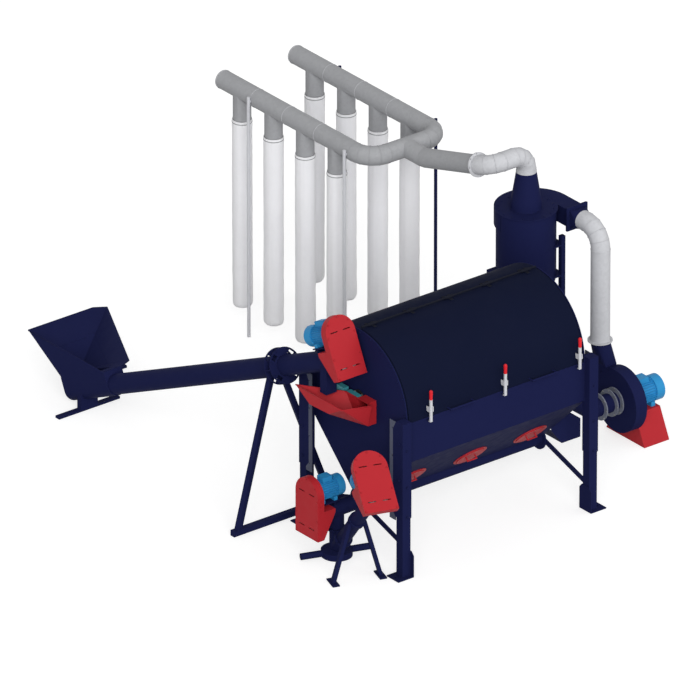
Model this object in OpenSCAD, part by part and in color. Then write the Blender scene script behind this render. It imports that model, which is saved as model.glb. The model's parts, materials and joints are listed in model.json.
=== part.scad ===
// Rotary drum cleaner with an inclined feed auger, a hinged hood, a screw trough,
// a lifting screw, and an aspiration line of fan, cyclone and eight filter bags.
// +X runs along the drum to the fan end, -Y is the lid side, +Z is up.
// The origin lies on the floor at the middle of the four legs.

/* [Drum housing] */
// Length of the housing between the outer faces of its end plates
body_l = 1810; // [1400:10:2400]
// Outer radius of the hood, and half the width of the housing
body_r = 604; // [520:1:760]
// Height of the drum axis and of the hood seam
axis_z = 1322; // [1200:1:1700]
// Height where the side walls turn into the V panels
vee_z = 975; // [850:1:1100]
// Thickness of the housing sheet
sheet = 5; // [3:0.5:8]
// Thickness of an end plate
end_t = 8; // [5:1:15]

/* [Drum] */
// Clearance between the drum and the hood
drum_clear = 79; // [50:1:160]
// Clearance between the drum's ends and the end plates
drum_side = 87; // [60:1:250]
// Radius of the drum shaft
drum_shaft_r = 30; // [20:1:45]

/* [Hood and lid] */
// Gap between the end plate and the lid's side edge
lid_margin = 22; // [10:1:60]
// Gap between the lid and what it closes on
lid_gap = 3; // [1:0.5:8]
// Radius of the hinge pin on the ridge
hinge_r = 7; // [5:0.5:12]
// Distance of the outer latches from the left and right end plates
latch_in = [221, 74];
// Place of the middle latch along X
latch_mid = 71; // [-150:1:150]
// Distance of the lid grips from the left and right end plates
grip_in = [533, 445];
// Length of a lid grip
grip_l = 256; // [150:1:320]
// Distance of the outer inspection covers from the left and right end plates
cover_in = [317, 265];
// Place of the middle inspection cover along X
cover_mid = 28; // [-120:1:120]
// Radius of an inspection cover
cover_r = 148; // [90:1:170]

/* [Screw trough] */
// Height of the trough screw's axis
trough_z = 416; // [380:1:500]
// Inner radius of the screw trough
trough_r = 62; // [50:1:80]
// Height where the V panels meet the trough
trough_top_z = 450; // [430:1:520]
// Distance from the housing to the trough screw's pulley
trough_out = 517; // [420:1:700]

/* [Legs] */
// Side of the inner leg tube
leg_w = 80; // [60:1:100]
// Side of the outer leg sleeve
sleeve_w = 90; // [70:1:112]
// Running gap between leg and sleeve, on each side
leg_gap = 0.4; // [0.2:0.1:1]
// Bottom end of the sleeve
sleeve_z0 = 520; // [450:1:700]
// Height of the sleeve's top above the hood seam
sleeve_over = 38; // [0:1:120]
// Side of the foot plate
foot_w = 150; // [120:1:200]

/* [Feed auger] */
// Distance from the housing to the feed auger's axis
feed_out = 187; // [178:1:240]
// Slope of the feed auger in degrees
feed_tilt = 25; // [15:1:35]
// Outer radius of the feed auger tube
feed_r = 85; // [70:1:110]
// Height of the feed auger's axis above the drum housing's middle
feed_mid_z = 1723; // [1650:1:1850]
// Length of the feed auger's motor
feed_motor_l = 340; // [250:1:380]
// Pitch of the feed screw's flight
feed_pitch = 160; // [110:1:220]

/* [Belt drives] */
// Width of a belt guard
guard_w = 288; // [250:1:330]
// Depth of a belt guard
guard_d = 66; // [50:1:90]
// Distance between the pulleys of a belt drive
belt_c = 213; // [190:1:260]
// Distance from the lower pulley to the guard's bottom edge
guard_foot = 157; // [130:1:180]
// Pitch radius of the driven pulley
big_pulley_r = 95; // [70:1:110]
// Pitch radius of the motor pulley
small_pulley_r = 48; // [35:1:60]
// Radius of a drive motor
motor_r = 88; // [70:1:100]
// Length of a drive motor
motor_l = 270; // [200:1:320]

/* [Lifting screw] */
// Distance from the housing to the drop spout and boot
boot_out = 231; // [200:1:320]
// Slope of the lifting screw in degrees
lift_tilt = 45; // [35:1:55]
// Heading of the lifting screw in degrees, from +X
lift_head = -108; // [-125:1:-95]
// Length of the lifting screw tube
lift_l = 1180; // [900:10:1400]
// Outer radius of the lifting screw tube
lift_r = 57; // [45:1:70]

/* [Fan] */
// Centre of the fan along Y
fan_y = 191; // [100:1:300]
// Height of the fan's axis
fan_z = 368; // [330:1:450]
// Distance from the housing to the fan scroll
fan_out = 956; // [800:1:1200]
// Width of the fan scroll
fan_w = 112; // [90:1:140]
// Radius of the fan scroll
fan_r = 272; // [230:1:310]
// Radius of the fan motor
fan_motor_r = 108; // [90:1:120]

/* [Ducts and cyclone] */
// Outer radius of the air ducts
duct_r = 80; // [65:1:95]
// Thickness of the duct sheet
duct_t = 3; // [2:0.5:5]
// Distance from the housing to the cyclone's axis
cyc_out = 670; // [600:1:760]
// Centre of the cyclone along Y
cyc_y = 983; // [900:1:1100]
// Radius of the cyclone
cyc_r = 244; // [200:1:290]
// Height of the cyclone's top plate
cyc_top = 1880; // [1700:1:2100]
// Height where the cyclone's cone begins
cyc_cone_z = 1272; // [1100:1:1400]
// Height of the duct between the fan and the cyclone
duct_z = 1800; // [1700:1:1840]
// Height of the outlet pipe above the cyclone
out_z = 2358; // [2260:1:2450]

/* [Filter bags] */
// Height of the axis of the filter manifold
man_z = 2117; // [1950:1:2200]
// Radius of a filter bag
bag_r = 82.5; // [70:0.5:95]
// Height of the lower end of the bags
bag_z0 = 175; // [100:1:400]
// Height of the upper end of the bags
bag_z1 = 1858; // [1600:1:1900]
// Distance between two bags of a row
bag_pitch = 412; // [380:1:500]
// Place of the first bag of each row along Y
bag_y0 = 2480; // [2400:1:2600]
// Places of the two rows along X
row_xs = [824, 1571];
// Radius of a pole that holds the manifold
pole_r = 14; // [8:1:20]

/* [Hidden] */
$fn = 72;

// Paint and metal
navy = [0.11, 0.125, 0.28];
red = [0.69, 0.16, 0.17];
blue = [0.12, 0.55, 0.80];
teal = [0.25, 0.58, 0.63];
grey = [0.72, 0.72, 0.74];
steel = [0.60, 0.61, 0.63];
cloth = [0.86, 0.86, 0.87];
black = [0.10, 0.10, 0.11];

eps = 1;
end_x = body_l / 2;
inner_x = end_x - end_t;
drum_r = body_r - drum_clear;
drum_l = 2 * (inner_x - drum_side);
ridge_z = axis_z + body_r;
trough_ro = trough_r + sheet;
vee_slope = atan2(vee_z - trough_top_z, body_r - trough_ro);
shaft_r = 22;
bearing_gap = 0.05;
run_gap = 5;
gap = 0.3;

// Lid
lid_x = end_x - lid_margin;
hinge_xs = [for (i = [-2:2]) i * lid_x * 0.44];
knuckle_r = hinge_r + 5;
hinge_z = ridge_z + knuckle_r + 3;

// Feed auger: along its own axis, from the middle of the machine, upwards
feed_x = -end_x - feed_out;
feed_pulley_s = 63;
feed_end_s = feed_pulley_s - 158;
feed_low_z = 105;
feed_low_s = -(feed_mid_z - feed_low_z) / sin(feed_tilt);
hopper_rim_z = 476;
hopper_wall = 125;
hopper_t = 4;
hopper_w = 761;
hopper_back = 436;
hopper_half = feed_r + 7;
hopper_x0 = feed_x - hopper_half;
hopper_x1 = feed_x + hopper_half;
hopper_top_s = (hopper_rim_z - hopper_wall * cos(feed_tilt) - feed_mid_z) / sin(feed_tilt);
hopper_y1 = -hopper_top_s * cos(feed_tilt) + hopper_wall * sin(feed_tilt);
hopper_y0 = -feed_low_s * cos(feed_tilt) + hopper_wall * sin(feed_tilt);
hopper_low = [for (x = [hopper_x0, hopper_x1])
    [x, hopper_y0, feed_low_z + hopper_wall * cos(feed_tilt)]];
hopper_rim = [[hopper_x0, hopper_y1, hopper_rim_z], [hopper_x1, hopper_y1, hopper_rim_z],
    [hopper_x0 + hopper_w * 0.4, hopper_y1 + 48, hopper_rim_z],
    [hopper_x0 + hopper_w, hopper_y0 + hopper_back - 64, hopper_rim_z],
    [hopper_x0 + hopper_w - 100, hopper_y0 + hopper_back, hopper_rim_z],
    [hopper_x0, hopper_y0 + hopper_back, hopper_rim_z]];
lantern_r = 150;
lantern_half = 45;
lantern_t = 10;
lantern_rib = lantern_half - lantern_t + eps;

// Lifting screw: along its own axis, from the boot upwards
boot_x = -end_x - boot_out;
boot_z = 64;
boot_r = 128;
boot_rim_z = boot_z - 12;
boot_low = 34;
lift_joint_s = 215;
lift_pulley_s = lift_l + 95;

// Belt guard
guard_wall = 3;
belt_w = 17;
belt_t = 11;
tube_end = 158;
head_t = 12;
guard_deep = tube_end - head_t - guard_d / 2 - gap;
motor_x = -guard_d / 2 - gap;

// Trough drive
trough_pulley_x = -end_x - trough_out + 15;
trough_tube_x = trough_pulley_x + tube_end;
spout_r = 60;

// Fan
fan_x0 = end_x + fan_out;
fan_x1 = fan_x0 + fan_w;
fan_wall = 4;
fan_inlet_r = 84;
riser_x = fan_x0 + 30;
riser_y = fan_y + 232;
scroll_top = 620;
transition_top = 810;
pedestal_l = 256;
fan_foot_z = fan_z - fan_motor_r - 2;

// Ducting
bend_r = 176;
suction_slope = 38;
suction_run = 50;
suction_foot = 250;
out_bend_r = 128;
socket = 8;

suction_z = fan_z + (fan_x0 - suction_foot - suction_run - end_x) * tan(suction_slope);
suction_route = [[end_x, fan_y, suction_z], [end_x + suction_run, fan_y, suction_z],
    [fan_x0 - suction_foot, fan_y, fan_z], [fan_x0, fan_y, fan_z]];

// Legs
leg_x = end_x + sleeve_w / 2;
leg_y = body_r + 15;
sleeve_z1 = axis_z + sleeve_over;
strip_w = 76;
strip_t = 6;
strip_pitch = 245;
foot_t = 10;
foot_hole = leg_w / 2 + 38;
brace_z = 250;
brace_y = 88;
flange_r = 105;
tube_flange_r = 85;
flange_t = 12;

// The lantern's lower flange stands just clear of the sleeve beside it
lantern_side = -leg_x - sleeve_w / 2 - feed_x;
lantern_low = sqrt(lantern_r ^ 2 - min(lantern_side, lantern_r) ^ 2);
lantern_y = leg_y + sleeve_w / 2 + gap + lantern_low * sin(feed_tilt);
feed_flange_s = -lantern_y / cos(feed_tilt) - lantern_half;

// Housing fittings
latch_xs = [-end_x + latch_in[0], latch_mid, end_x - latch_in[1]];
grip_xs = [-end_x + grip_in[0], end_x - grip_in[1]];
cover_xs = [-end_x + cover_in[0], cover_mid, end_x - cover_in[1]];
cover_z = 617;
cover_y = trough_ro + (cover_z - trough_top_z) / tan(vee_slope);
hoop_w = 46;
hoop_h = 36;
hinge_l = 90;
hoops = 5;
screen_t = 3;
shaft_end_x = end_x + 78;
partition_x = drum_l / 2 + 8;
latch_y = -body_r - 28;
latch_z = axis_z + 78;
keeper_z = axis_z - 22;
grip_z = axis_z + 22;
overs_y0 = -170;
overs_y1 = 210;
overs_z0 = 560;
overs_z1 = 740;
chute_low_z = 395;

// Feed chute
chute_x1 = -end_x - 83;
chute_x0 = chute_x1 - 240;
chute_rim_z = axis_z + 62;
chute_z = axis_z - 142;
inlet_y0 = -216;
inlet_y1 = -80;
chute_t = 5;
gearmotor_r = 42;
inlet_z0 = chute_z + 4;
inlet_z1 = chute_rim_z - 8;
drop_x0 = feed_x - 78;
drop_x1 = feed_x + 27;
drop_y0 = 90;
drop_y1 = 170;
spout_z = 240;
skid_y = hopper_y1 + 325;
stand_y = leg_y + 148;
saddle_y = stand_y + 63;
stand_s = 650;

// Cyclone and pipes
cyc_x = end_x + cyc_out;
cyc_in_y0 = 650;
cyc_in_y1 = 730;
cyc_low_z = 560;
cyc_leg = 205;
dust_r = 75;
gate_t = 6;
bracket_t = 12;
duct_out_r = 124;
cone_top = out_z - out_bend_r - 30;
tee_x = 1198;
pole_ys = [bag_y0 - 217, bag_y0 + 2.5 * bag_pitch];
tee_y = 2063;
out_route = [[cyc_x, cyc_y, cone_top], [cyc_x, cyc_y, out_z], [tee_x, cyc_y, out_z],
    [tee_x, tee_y - 250, man_z], [tee_x, tee_y - 140, man_z]];
tee_route = [[row_xs[0], bag_y0 - 110, man_z], [row_xs[0], tee_y, man_z],
    [row_xs[1], tee_y, man_z], [row_xs[1], bag_y0 - 110, man_z]];

function unit(v) = v / norm(v);
// The outline pts, moved in by d on every side
function inset(pts, d) = let (n = len(pts)) [for (i = [0:n - 1])
    let (a = unit(pts[i] - pts[(i + n - 1) % n]), b = unit(pts[(i + 1) % n] - pts[i]))
    pts[i] + (b - a) * d / norm(cross(a, b))];
// Angle of the direction v from +Z, and between two directions
function tilt_of(v) = acos(max(-1, min(1, v.z / norm(v))));
function turn_between(a, b) = acos(max(-1, min(1, a * b)));

// Local axes of the two inclined screws, with +X up along the screw
module in_feed() translate([feed_x, 0, feed_mid_z]) rotate([0, -feed_tilt, -90]) children();
module in_lift() translate([boot_x, 0, boot_z]) rotate([0, -lift_tilt, lift_head]) children();
module at_feed_drive() in_feed() translate([feed_pulley_s, 0, 0]) children();
module at_lift_drive() in_lift() translate([lift_pulley_s, 0, 0]) children();
module at_trough_drive() translate([trough_pulley_x, 0, trough_z]) rotate([0, 0, 180]) children();

module along_x(l) rotate([90, 0, 90]) linear_extrude(l) children();
module rod_x(r, l) rotate([0, 90, 0]) cylinder(r=r, h=l);
module tube_x(r, t, l) difference() {
    rod_x(r, l);
    translate([-eps, 0, 0]) rod_x(r - t, l + 2 * eps);
}
module box(lo, hi) translate(lo) cube(hi - lo);
module both_sides() {
    children();
    mirror([0, 1, 0]) children();
}

// A flat plate of thickness t, on the outline pts, growing along the outline's normal
module plate(pts, t) {
    u = unit(pts[1] - pts[0]);
    n = unit(cross(u, pts[2] - pts[0]));
    v = cross(n, u);
    o = pts[0];
    multmatrix([[u.x, v.x, n.x, o.x], [u.y, v.y, n.y, o.y], [u.z, v.z, n.z, o.z], [0, 0, 0, 1]])
        linear_extrude(t) polygon([for (p = pts) [(p - o) * u, (p - o) * v]]);
}

// A straight bar of section w by h from a to b
module bar(a, b, w, h) {
    d = b - a;
    translate(a) rotate([0, tilt_of(d), atan2(d.y, d.x)])
        translate([-h / 2, -w / 2, 0]) cube([h, w, norm(d)]);
}
module rod(a, b, r) {
    d = b - a;
    translate(a) rotate([0, tilt_of(d), atan2(d.y, d.x)]) cylinder(r=r, h=norm(d));
}

// One bend of a pipe at the corner p, from direction d1 to d2
module bend(p, d1, d2, bend_radius, r, bore=0) {
    a = turn_between(d1, d2);
    n = unit(cross(d1, d2));
    m = cross(n, d1);
    c = p - d1 * bend_radius * tan(a / 2) + m * bend_radius;
    multmatrix([[-m.x, d1.x, n.x, c.x], [-m.y, d1.y, n.y, c.y], [-m.z, d1.z, n.z, c.z],
        [0, 0, 0, 1]])
        rotate_extrude(angle=a) translate([bend_radius, 0]) difference() {
            circle(r);
            if (bore > 0) circle(bore);
        }
}
// A solid pipe along the corners pts, with every bend of the same radius
module pipe(pts, bend_radius, r, over=0) {
    n = len(pts);
    dirs = [for (i = [0:n - 2]) unit(pts[i + 1] - pts[i])];
    cut = [for (i = [0:n - 1]) (i == 0 || i == n - 1) ? -over
        : bend_radius * tan(turn_between(dirs[i - 1], dirs[i]) / 2)];
    for (i = [0:n - 2]) rod(pts[i] + dirs[i] * cut[i], pts[i + 1] - dirs[i] * cut[i + 1], r);
    if (n > 2) for (i = [1:n - 2]) bend(pts[i], dirs[i - 1], dirs[i], bend_radius, r);
}
// An open duct along the corners pts: each bend is a rolled piece pushed into its two neighbours
module duct(pts, bend_radius=bend_r, r=duct_r) {
    n = len(pts);
    dirs = [for (i = [0:n - 2]) unit(pts[i + 1] - pts[i])];
    cut = [for (i = [0:n - 1]) (i == 0 || i == n - 1) ? 0
        : let (half = tan(turn_between(dirs[i - 1], dirs[i]) / 2))
            bend_radius * half - min(socket, 0.6 * (bend_radius - r) * half)];
    for (i = [0:n - 2]) difference() {
        rod(pts[i] + dirs[i] * cut[i], pts[i + 1] - dirs[i] * cut[i + 1], r);
        rod(pts[i] + dirs[i] * (cut[i] - eps), pts[i + 1] - dirs[i] * (cut[i + 1] - eps), r - duct_t);
    }
    if (n > 2) for (i = [1:n - 2]) bend(pts[i], dirs[i - 1], dirs[i], bend_radius,
        r - duct_t / 2, r - 1.5 * duct_t);
}
// A flanged joint ring on a duct
module ring(p, d, r=duct_r + 22, t=10, bore=duct_r - duct_t / 2) {
    u = unit(d);
    difference() {
        rod(p - u * t / 2, p + u * t / 2, r);
        rod(p - u * t, p + u * t, bore);
        rotate_holes(p, u, r - 9, 8, 5, t);
    }
}
module rotate_holes(p, u, pcr, count, r, t)
    translate(p) rotate([0, tilt_of(u), atan2(u.y, u.x)])
        for (i = [0:count - 1]) rotate(i * 360 / count)
            translate([pcr, 0, -t]) cylinder(r=r, h=2 * t, $fn=24);

// The flight of a screw along +X: a helical ribbon between the radii r0 and r1
module flight(r0, r1, pitch, x0, x1, t=5, seg=14) {
    n = floor((x1 - x0 - t) / pitch * seg);
    step = (x1 - x0 - t) / n;
    corners = [[r0, 0], [r1, 0], [r1, t], [r0, t]];
    points = [for (i = [0:n]) let (a = 360 * i / seg) for (c = corners)
        [x0 + i * step + c.y, c.x * cos(a), c.x * sin(a)]];
    sides = [for (i = [0:n - 1]) for (j = [0:3]) let (a = 4 * i + j, b = 4 * i + (j + 1) % 4)
        each [[a, b, b + 4], [a, b + 4, a + 4]]];
    polyhedron(points, concat(sides, [[3, 2, 1, 0]], [[4 * n, 4 * n + 1, 4 * n + 2, 4 * n + 3]]),
        convexity=10);
}

// Grooved pulley about the X axis, centred on the origin
module pulley(r, bore=0) difference() {
    rotate([0, 90, 0]) rotate_extrude() polygon([[bore, -belt_w], [r + 4, -belt_w],
        [r + 4, -belt_w / 2 - 2], [r - belt_t + 2, -belt_w / 2 + 3], [r - belt_t + 2, belt_w / 2 - 3],
        [r + 4, belt_w / 2 + 2], [r + 4, belt_w], [bore, belt_w]]);
    if (r > 80) for (a = [0:72:288]) rotate([a, 0, 0])
        translate([-belt_w - eps, 0, r * 0.54]) rod_x(r * 0.17, 2 * belt_w + 2 * eps);
}
// Outline of the loop round two pulleys, at the distance d outside their belt line
module loop2d(r1, r2, c, d) {
    b = asin((r1 - r2) / c);
    circle(r1 + d);
    translate([0, c]) circle(r2 + d);
    polygon([for (s = [1, -1]) [s * (r1 + d) * cos(b), (r1 + d) * sin(b)],
        for (s = [-1, 1]) [s * (r2 + d) * cos(b), c + (r2 + d) * sin(b)]]);
}
module belt() translate([-belt_w / 2 + 4, 0, 0]) along_x(belt_w - 8) difference() {
    loop2d(big_pulley_r, small_pulley_r, belt_c, 2);
    loop2d(big_pulley_r, small_pulley_r, belt_c, -belt_t + 2 + gap);
}

// Belt guard: a box with a round top, deeper over the lower pulley's shaft
module guard2d(d) {
    w = guard_w / 2 - d;
    translate([0, belt_c]) circle(w);
    translate([-w, -guard_foot + d]) square([2 * w, belt_c + guard_foot - d]);
}
module guard_side(d) polygon([[-guard_d / 2 - guard_deep + 1.5 * d, 60],
    [-guard_d / 2 + eps, -guard_foot + 2 * d], [-guard_d / 2 + eps, 93 - d],
    [-guard_d / 2 - guard_deep + 1.5 * d, 93 - d]]);
module belt_guard(hole_r) color(red) difference() {
    union() {
        translate([-guard_d / 2, 0, 0]) along_x(guard_d) guard2d(0);
        translate([0, guard_w / 2, 0]) rotate([90, 0, 0]) linear_extrude(guard_w) guard_side(0);
    }
    translate([-guard_d / 2 + guard_wall, 0, 0]) along_x(guard_d - 2 * guard_wall) guard2d(guard_wall);
    translate([0, guard_w / 2 - guard_wall, 0]) rotate([90, 0, 0])
        linear_extrude(guard_w - 2 * guard_wall) guard_side(guard_wall);
    translate([-guard_d / 2 - eps, 0, 0]) along_x(guard_wall + 2 * eps)
        translate([-60, -60]) square([120, 120]);
    translate([-guard_d / 2 - guard_deep - eps, 0, 0]) rod_x(hole_r, guard_deep);
    translate([-guard_d / 2 - eps, 0, belt_c]) rod_x(30, guard_wall + 2 * eps);
    for (z = [-70, 230]) for (y = [-62, 62])
        box([guard_d / 2 - guard_wall - eps, y - 34, z - 4], [guard_d / 2 + eps, y + 34, z + 4]);
}

// Squirrel-cage motor along -X from the origin, with cooling fins, cowl, feet and terminal box
module motor(r, l, bore) {
    core = r * 0.86;
    fins = 28;
    difference() {
        union() {
            translate([-l * 0.74, 0, 0]) along_x(l * 0.66) {
                circle(core);
                for (i = [0:fins - 1]) rotate(i * 360 / fins) translate([core - 3, -1.5])
                    square([r - core + 2, 3]);
            }
            translate([-l * 0.08, 0, 0]) rod_x(r, l * 0.05);
            translate([-l * 0.03, 0, 0]) rod_x(r * 0.62, l * 0.03);
            translate([-l * 0.78, 0, 0]) rod_x(r, l * 0.05);
            translate([-l * 0.97, 0, 0]) rod_x(r, l * 0.20);
            translate([-l, 0, 0]) rotate([0, 90, 0]) cylinder(r1=r * 0.82, r2=r, h=l * 0.03 + 0.01);
            box([-l * 0.60, -r * 0.42, core * 0.8], [-l * 0.25, r * 0.42, r + 28]);
            for (x = [-l * 0.68, -l * 0.22])
                box([x, -r * 0.9, -r - 2], [x + l * 0.12, r * 0.9, -core * 0.75]);
        }
        translate([-l * 0.3, 0, 0]) rod_x(bore, l * 0.3 + eps);
    }
}
module drive_motor(l=motor_l) color(blue) translate([motor_x, 0, belt_c]) motor(motor_r, l, 14 + gap);
module drive_pulley() color(steel) translate([0, 0, belt_c]) {
    pulley(small_pulley_r);
    translate([motor_x - motor_l * 0.28, 0, 0]) rod_x(14, motor_l * 0.28 - motor_x);
}
// Bracket between a screw tube of radius r and the motor's feet
module motor_bracket(r, l=motor_l) {
    z = belt_c - motor_r - 2;
    x0 = motor_x - l * 0.74;
    x1 = motor_x - l * 0.05;
    box([x0, -motor_r, z - 10], [x1, motor_r, z]);
    difference() {
        for (x = [x0 + 10, -tube_end - 14]) box([x, -r * 0.7, 0], [x + 12, r * 0.7, z - 5]);
        translate([x0 - eps, 0, 0]) rod_x(r - 2, x1 - x0 + 2 * eps);
    }
}
// Screw in a drive's local axes: the shaft starts at x0, and the flight runs from f0 to f1
module screw(x0, f0, f1, r1, pitch) color(steel) {
    translate([x0, 0, 0]) rod_x(shaft_r, -x0 + 24);
    pulley(big_pulley_r, 0);
    flight(shaft_r - 2, r1, pitch, f0, f1);
}
module tube_head(r) difference() {
    translate([-tube_end, 0, 0]) {
        rod_x(r + 16, head_t);
        rod_x(44, head_t + 14);
    }
    translate([-tube_end - eps, 0, 0]) rod_x(shaft_r + bearing_gap, 30);
}

// ---- Housing ----
module tub2d(d, top) {
    r = body_r - d;
    ro = trough_ro - d;
    function vee(y) = trough_top_z + (y - trough_ro) * tan(vee_slope) + d / cos(vee_slope);
    polygon([[-r, top], [-r, vee(r)], [-ro, vee(ro)], [-ro, trough_z], [ro, trough_z],
        [ro, vee(ro)], [r, vee(r)], [r, top]]);
    translate([0, trough_z]) circle(ro);
}
module on_vee(x) translate([x, -cover_y, cover_z]) rotate([180 - vee_slope, 0, 0]) children();
module tub() color(navy) {
    difference() {
        translate([-inner_x, 0, 0]) along_x(2 * inner_x) difference() {
            tub2d(0, axis_z);
            tub2d(sheet, axis_z + eps);
        }
        for (x = cover_xs) on_vee(x) translate([0, 0, -40]) cylinder(r=cover_r - 25, h=60);
    }
    both_sides() translate([-inner_x, 0, 0]) along_x(2 * inner_x)
        translate([body_r - 40, axis_z - 30]) difference() {
            square([40 - sheet + eps, 30]);
            translate([-eps, -eps]) square([40 - sheet, 30 - sheet + eps]);
        }
    translate([partition_x, 0, 0]) along_x(4) difference() {
        tub2d(sheet - eps, axis_z - 200);
        translate([0, axis_z]) circle(drum_r + 10);
        translate([0, trough_z]) circle(shaft_r + 4);
    }
    intersection() {
        translate([partition_x + 2, 0, 0]) along_x(inner_x - partition_x - 3) tub2d(sheet - eps, axis_z);
        plate([[partition_x, -body_r, overs_z1 + 40], [inner_x, -body_r, overs_z0],
            [inner_x, body_r, overs_z0], [partition_x, body_r, overs_z1 + 40]], 4);
    }
}

module end2d() {
    tub2d(0, axis_z);
    translate([0, axis_z]) circle(body_r);
}
module end_plate(side) {
    difference() {
        union() {
            translate([inner_x, 0, 0]) along_x(end_t) end2d();
            translate([end_x - eps, 0, trough_z]) rod_x(flange_r, flange_t + eps);
        }
        translate([inner_x - eps, 0, axis_z]) rod_x(drum_shaft_r + 12, end_t + 2 * eps);
        translate([inner_x - eps, 0, trough_z])
            rod_x(side < 0 ? trough_r : shaft_r + bearing_gap, end_t + flange_t + 2 * eps);
        children();
    }
}
module end_plate_left() color(navy) mirror([1, 0, 0]) end_plate(-1)
    box([inner_x - eps, inlet_y0, inlet_z0], [end_x + eps, inlet_y1, inlet_z1]);
module end_plate_right() color(navy) end_plate(1) {
    translate([inner_x - eps, fan_y, suction_z]) rod_x(duct_r - duct_t, end_t + 2 * eps);
    box([inner_x - eps, overs_y0, overs_z0], [end_x + eps, overs_y1, overs_z1]);
}

module ring2d(r0, r1) difference() {
    circle(r1);
    circle(r0);
}
module hinge_at(x, own) {
    l = hinge_l / 3 - 0.5;
    for (i = own ? [0, 2] : [1]) translate([x - hinge_l / 2 + i * hinge_l / 3 + 0.25, 0, 0]) {
        difference() {
            translate([0, 0, hinge_z]) rod_x(knuckle_r, l);
            if (!own) translate([-eps, 0, hinge_z]) rod_x(hinge_r + bearing_gap, l + 2 * eps);
        }
        difference() {
            box([0, own ? 2 : -50, ridge_z - 3], [l, own ? 50 : -2, ridge_z + 6]);
            translate([-eps, 0, hinge_z]) rod_x(hinge_r + 2, l + 2 * eps);
        }
    }
}
module rear_hood() color(navy) {
    translate([-inner_x, 0, axis_z]) along_x(2 * inner_x) intersection() {
        ring2d(body_r - sheet, body_r);
        square(body_r + eps);
    }
    for (s = [-1, 1]) translate([s < 0 ? -inner_x : inner_x - hoop_w, 0, axis_z]) along_x(hoop_w) {
        intersection() {
            ring2d(body_r - hoop_h, body_r - sheet - lid_gap);
            translate([-body_r, lid_gap]) square([2 * body_r, body_r]);
        }
        intersection() {
            ring2d(body_r - sheet - lid_gap - eps, body_r - sheet + eps);
            translate([2, lid_gap]) square(body_r);
        }
    }
    for (x = hinge_xs) hinge_at(x, true);
    translate([-lid_x, 0, hinge_z]) rod_x(hinge_r, 2 * lid_x);
}
module latch_ears(x) {
    for (s = [-1, 1]) box([x + s * 15 - 3, latch_y - 12, latch_z - 22],
        [x + s * 15 + 3, -body_r + 7, latch_z + 22]);
    translate([x - 20, latch_y, latch_z]) rod_x(5, 40);
}
module lid() color(navy) {
    translate([-lid_x, 0, axis_z]) along_x(2 * lid_x) intersection() {
        ring2d(body_r - sheet, body_r);
        translate([-body_r - eps, lid_gap]) square([body_r + eps - lid_gap, body_r]);
    }
    for (x = hinge_xs) hinge_at(x, false);
    for (x = latch_xs) latch_ears(x);
    for (x = grip_xs) {
        for (s = [-1, 1]) rod([x + s * (grip_l / 2 - 8), -body_r + 3, grip_z],
            [x + s * (grip_l / 2 - 8), -body_r - 45, grip_z], 8);
        translate([x - grip_l / 2, -body_r - 45, grip_z]) rod_x(8, grip_l);
    }
}
module latch(x) color(steel) translate([x, latch_y, latch_z]) difference() {
    union() {
        box([-11.5, -7, keeper_z - latch_z - 11], [11.5, 7, 86]);
        box([-11.5, -7, keeper_z - latch_z - 11], [11.5, -body_r - 10 - latch_y, keeper_z - latch_z - 5]);
        translate([0, 0, 80]) cylinder(r=11, h=8);
        translate([0, 0, 86]) cylinder(r1=13, r2=15, h=70);
        translate([0, 0, 153]) sphere(15);
    }
    translate([-20, 0, 0]) rod_x(5 + bearing_gap, 40);
}
module latch_left() latch(latch_xs[0]);
module latch_middle() latch(latch_xs[1]);
module latch_right() latch(latch_xs[2]);
module latch_keepers() color(navy) for (x = latch_xs)
    box([x - 20, -body_r - 14, keeper_z], [x + 20, -body_r - gap, keeper_z + 6]);

module inspection_covers() color(red) for (x = cover_xs) on_vee(x) {
    cylinder(r=cover_r, h=5);
    cylinder(r=cover_r - 22, h=12);
    for (s = [-1, 1]) translate([s * 45, 0, 10]) cylinder(r=6, h=30);
    translate([-51, 0, 40]) rod_x(6, 102);
}

// ---- Drum ----
module drum() color(steel) {
    translate([-shaft_end_x, 0, axis_z]) rod_x(drum_shaft_r, shaft_end_x + end_x + 40);
    for (i = [0:hoops - 1]) translate([-drum_l / 2 + i * (drum_l - 30) / (hoops - 1), 0, axis_z]) {
        along_x(30) ring2d(drum_r - 28, drum_r - screen_t - gap);
        if (i % 2 == 0) for (a = [0:60:300]) rotate([a, 0, 0])
            translate([15, 0, 0]) cylinder(r=12, h=drum_r - 16);
        if (i % 2 == 0) rod_x(drum_shaft_r + 18, 30);
    }
    for (a = [15:30:345]) translate([-drum_l / 2, 0, axis_z]) rotate([a, 0, 0])
        box([0, -10, drum_r - 26], [drum_l, 10, drum_r - 14]);
}
module drum_screen() color(grey) translate([-drum_l / 2, 0, axis_z])
    tube_x(drum_r, screen_t, drum_l);
module flange_bearing(l) difference() {
    union() {
        rod_x(72, 10);
        rod_x(52, l);
    }
    translate([-eps, 0, 0]) rod_x(drum_shaft_r + bearing_gap, l + 2 * eps);
}
module drum_bearings() color(black) {
    translate([end_x, 0, axis_z]) flange_bearing(25);
    mirror([1, 0, 0]) translate([end_x, 0, axis_z]) flange_bearing(25);
}
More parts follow.
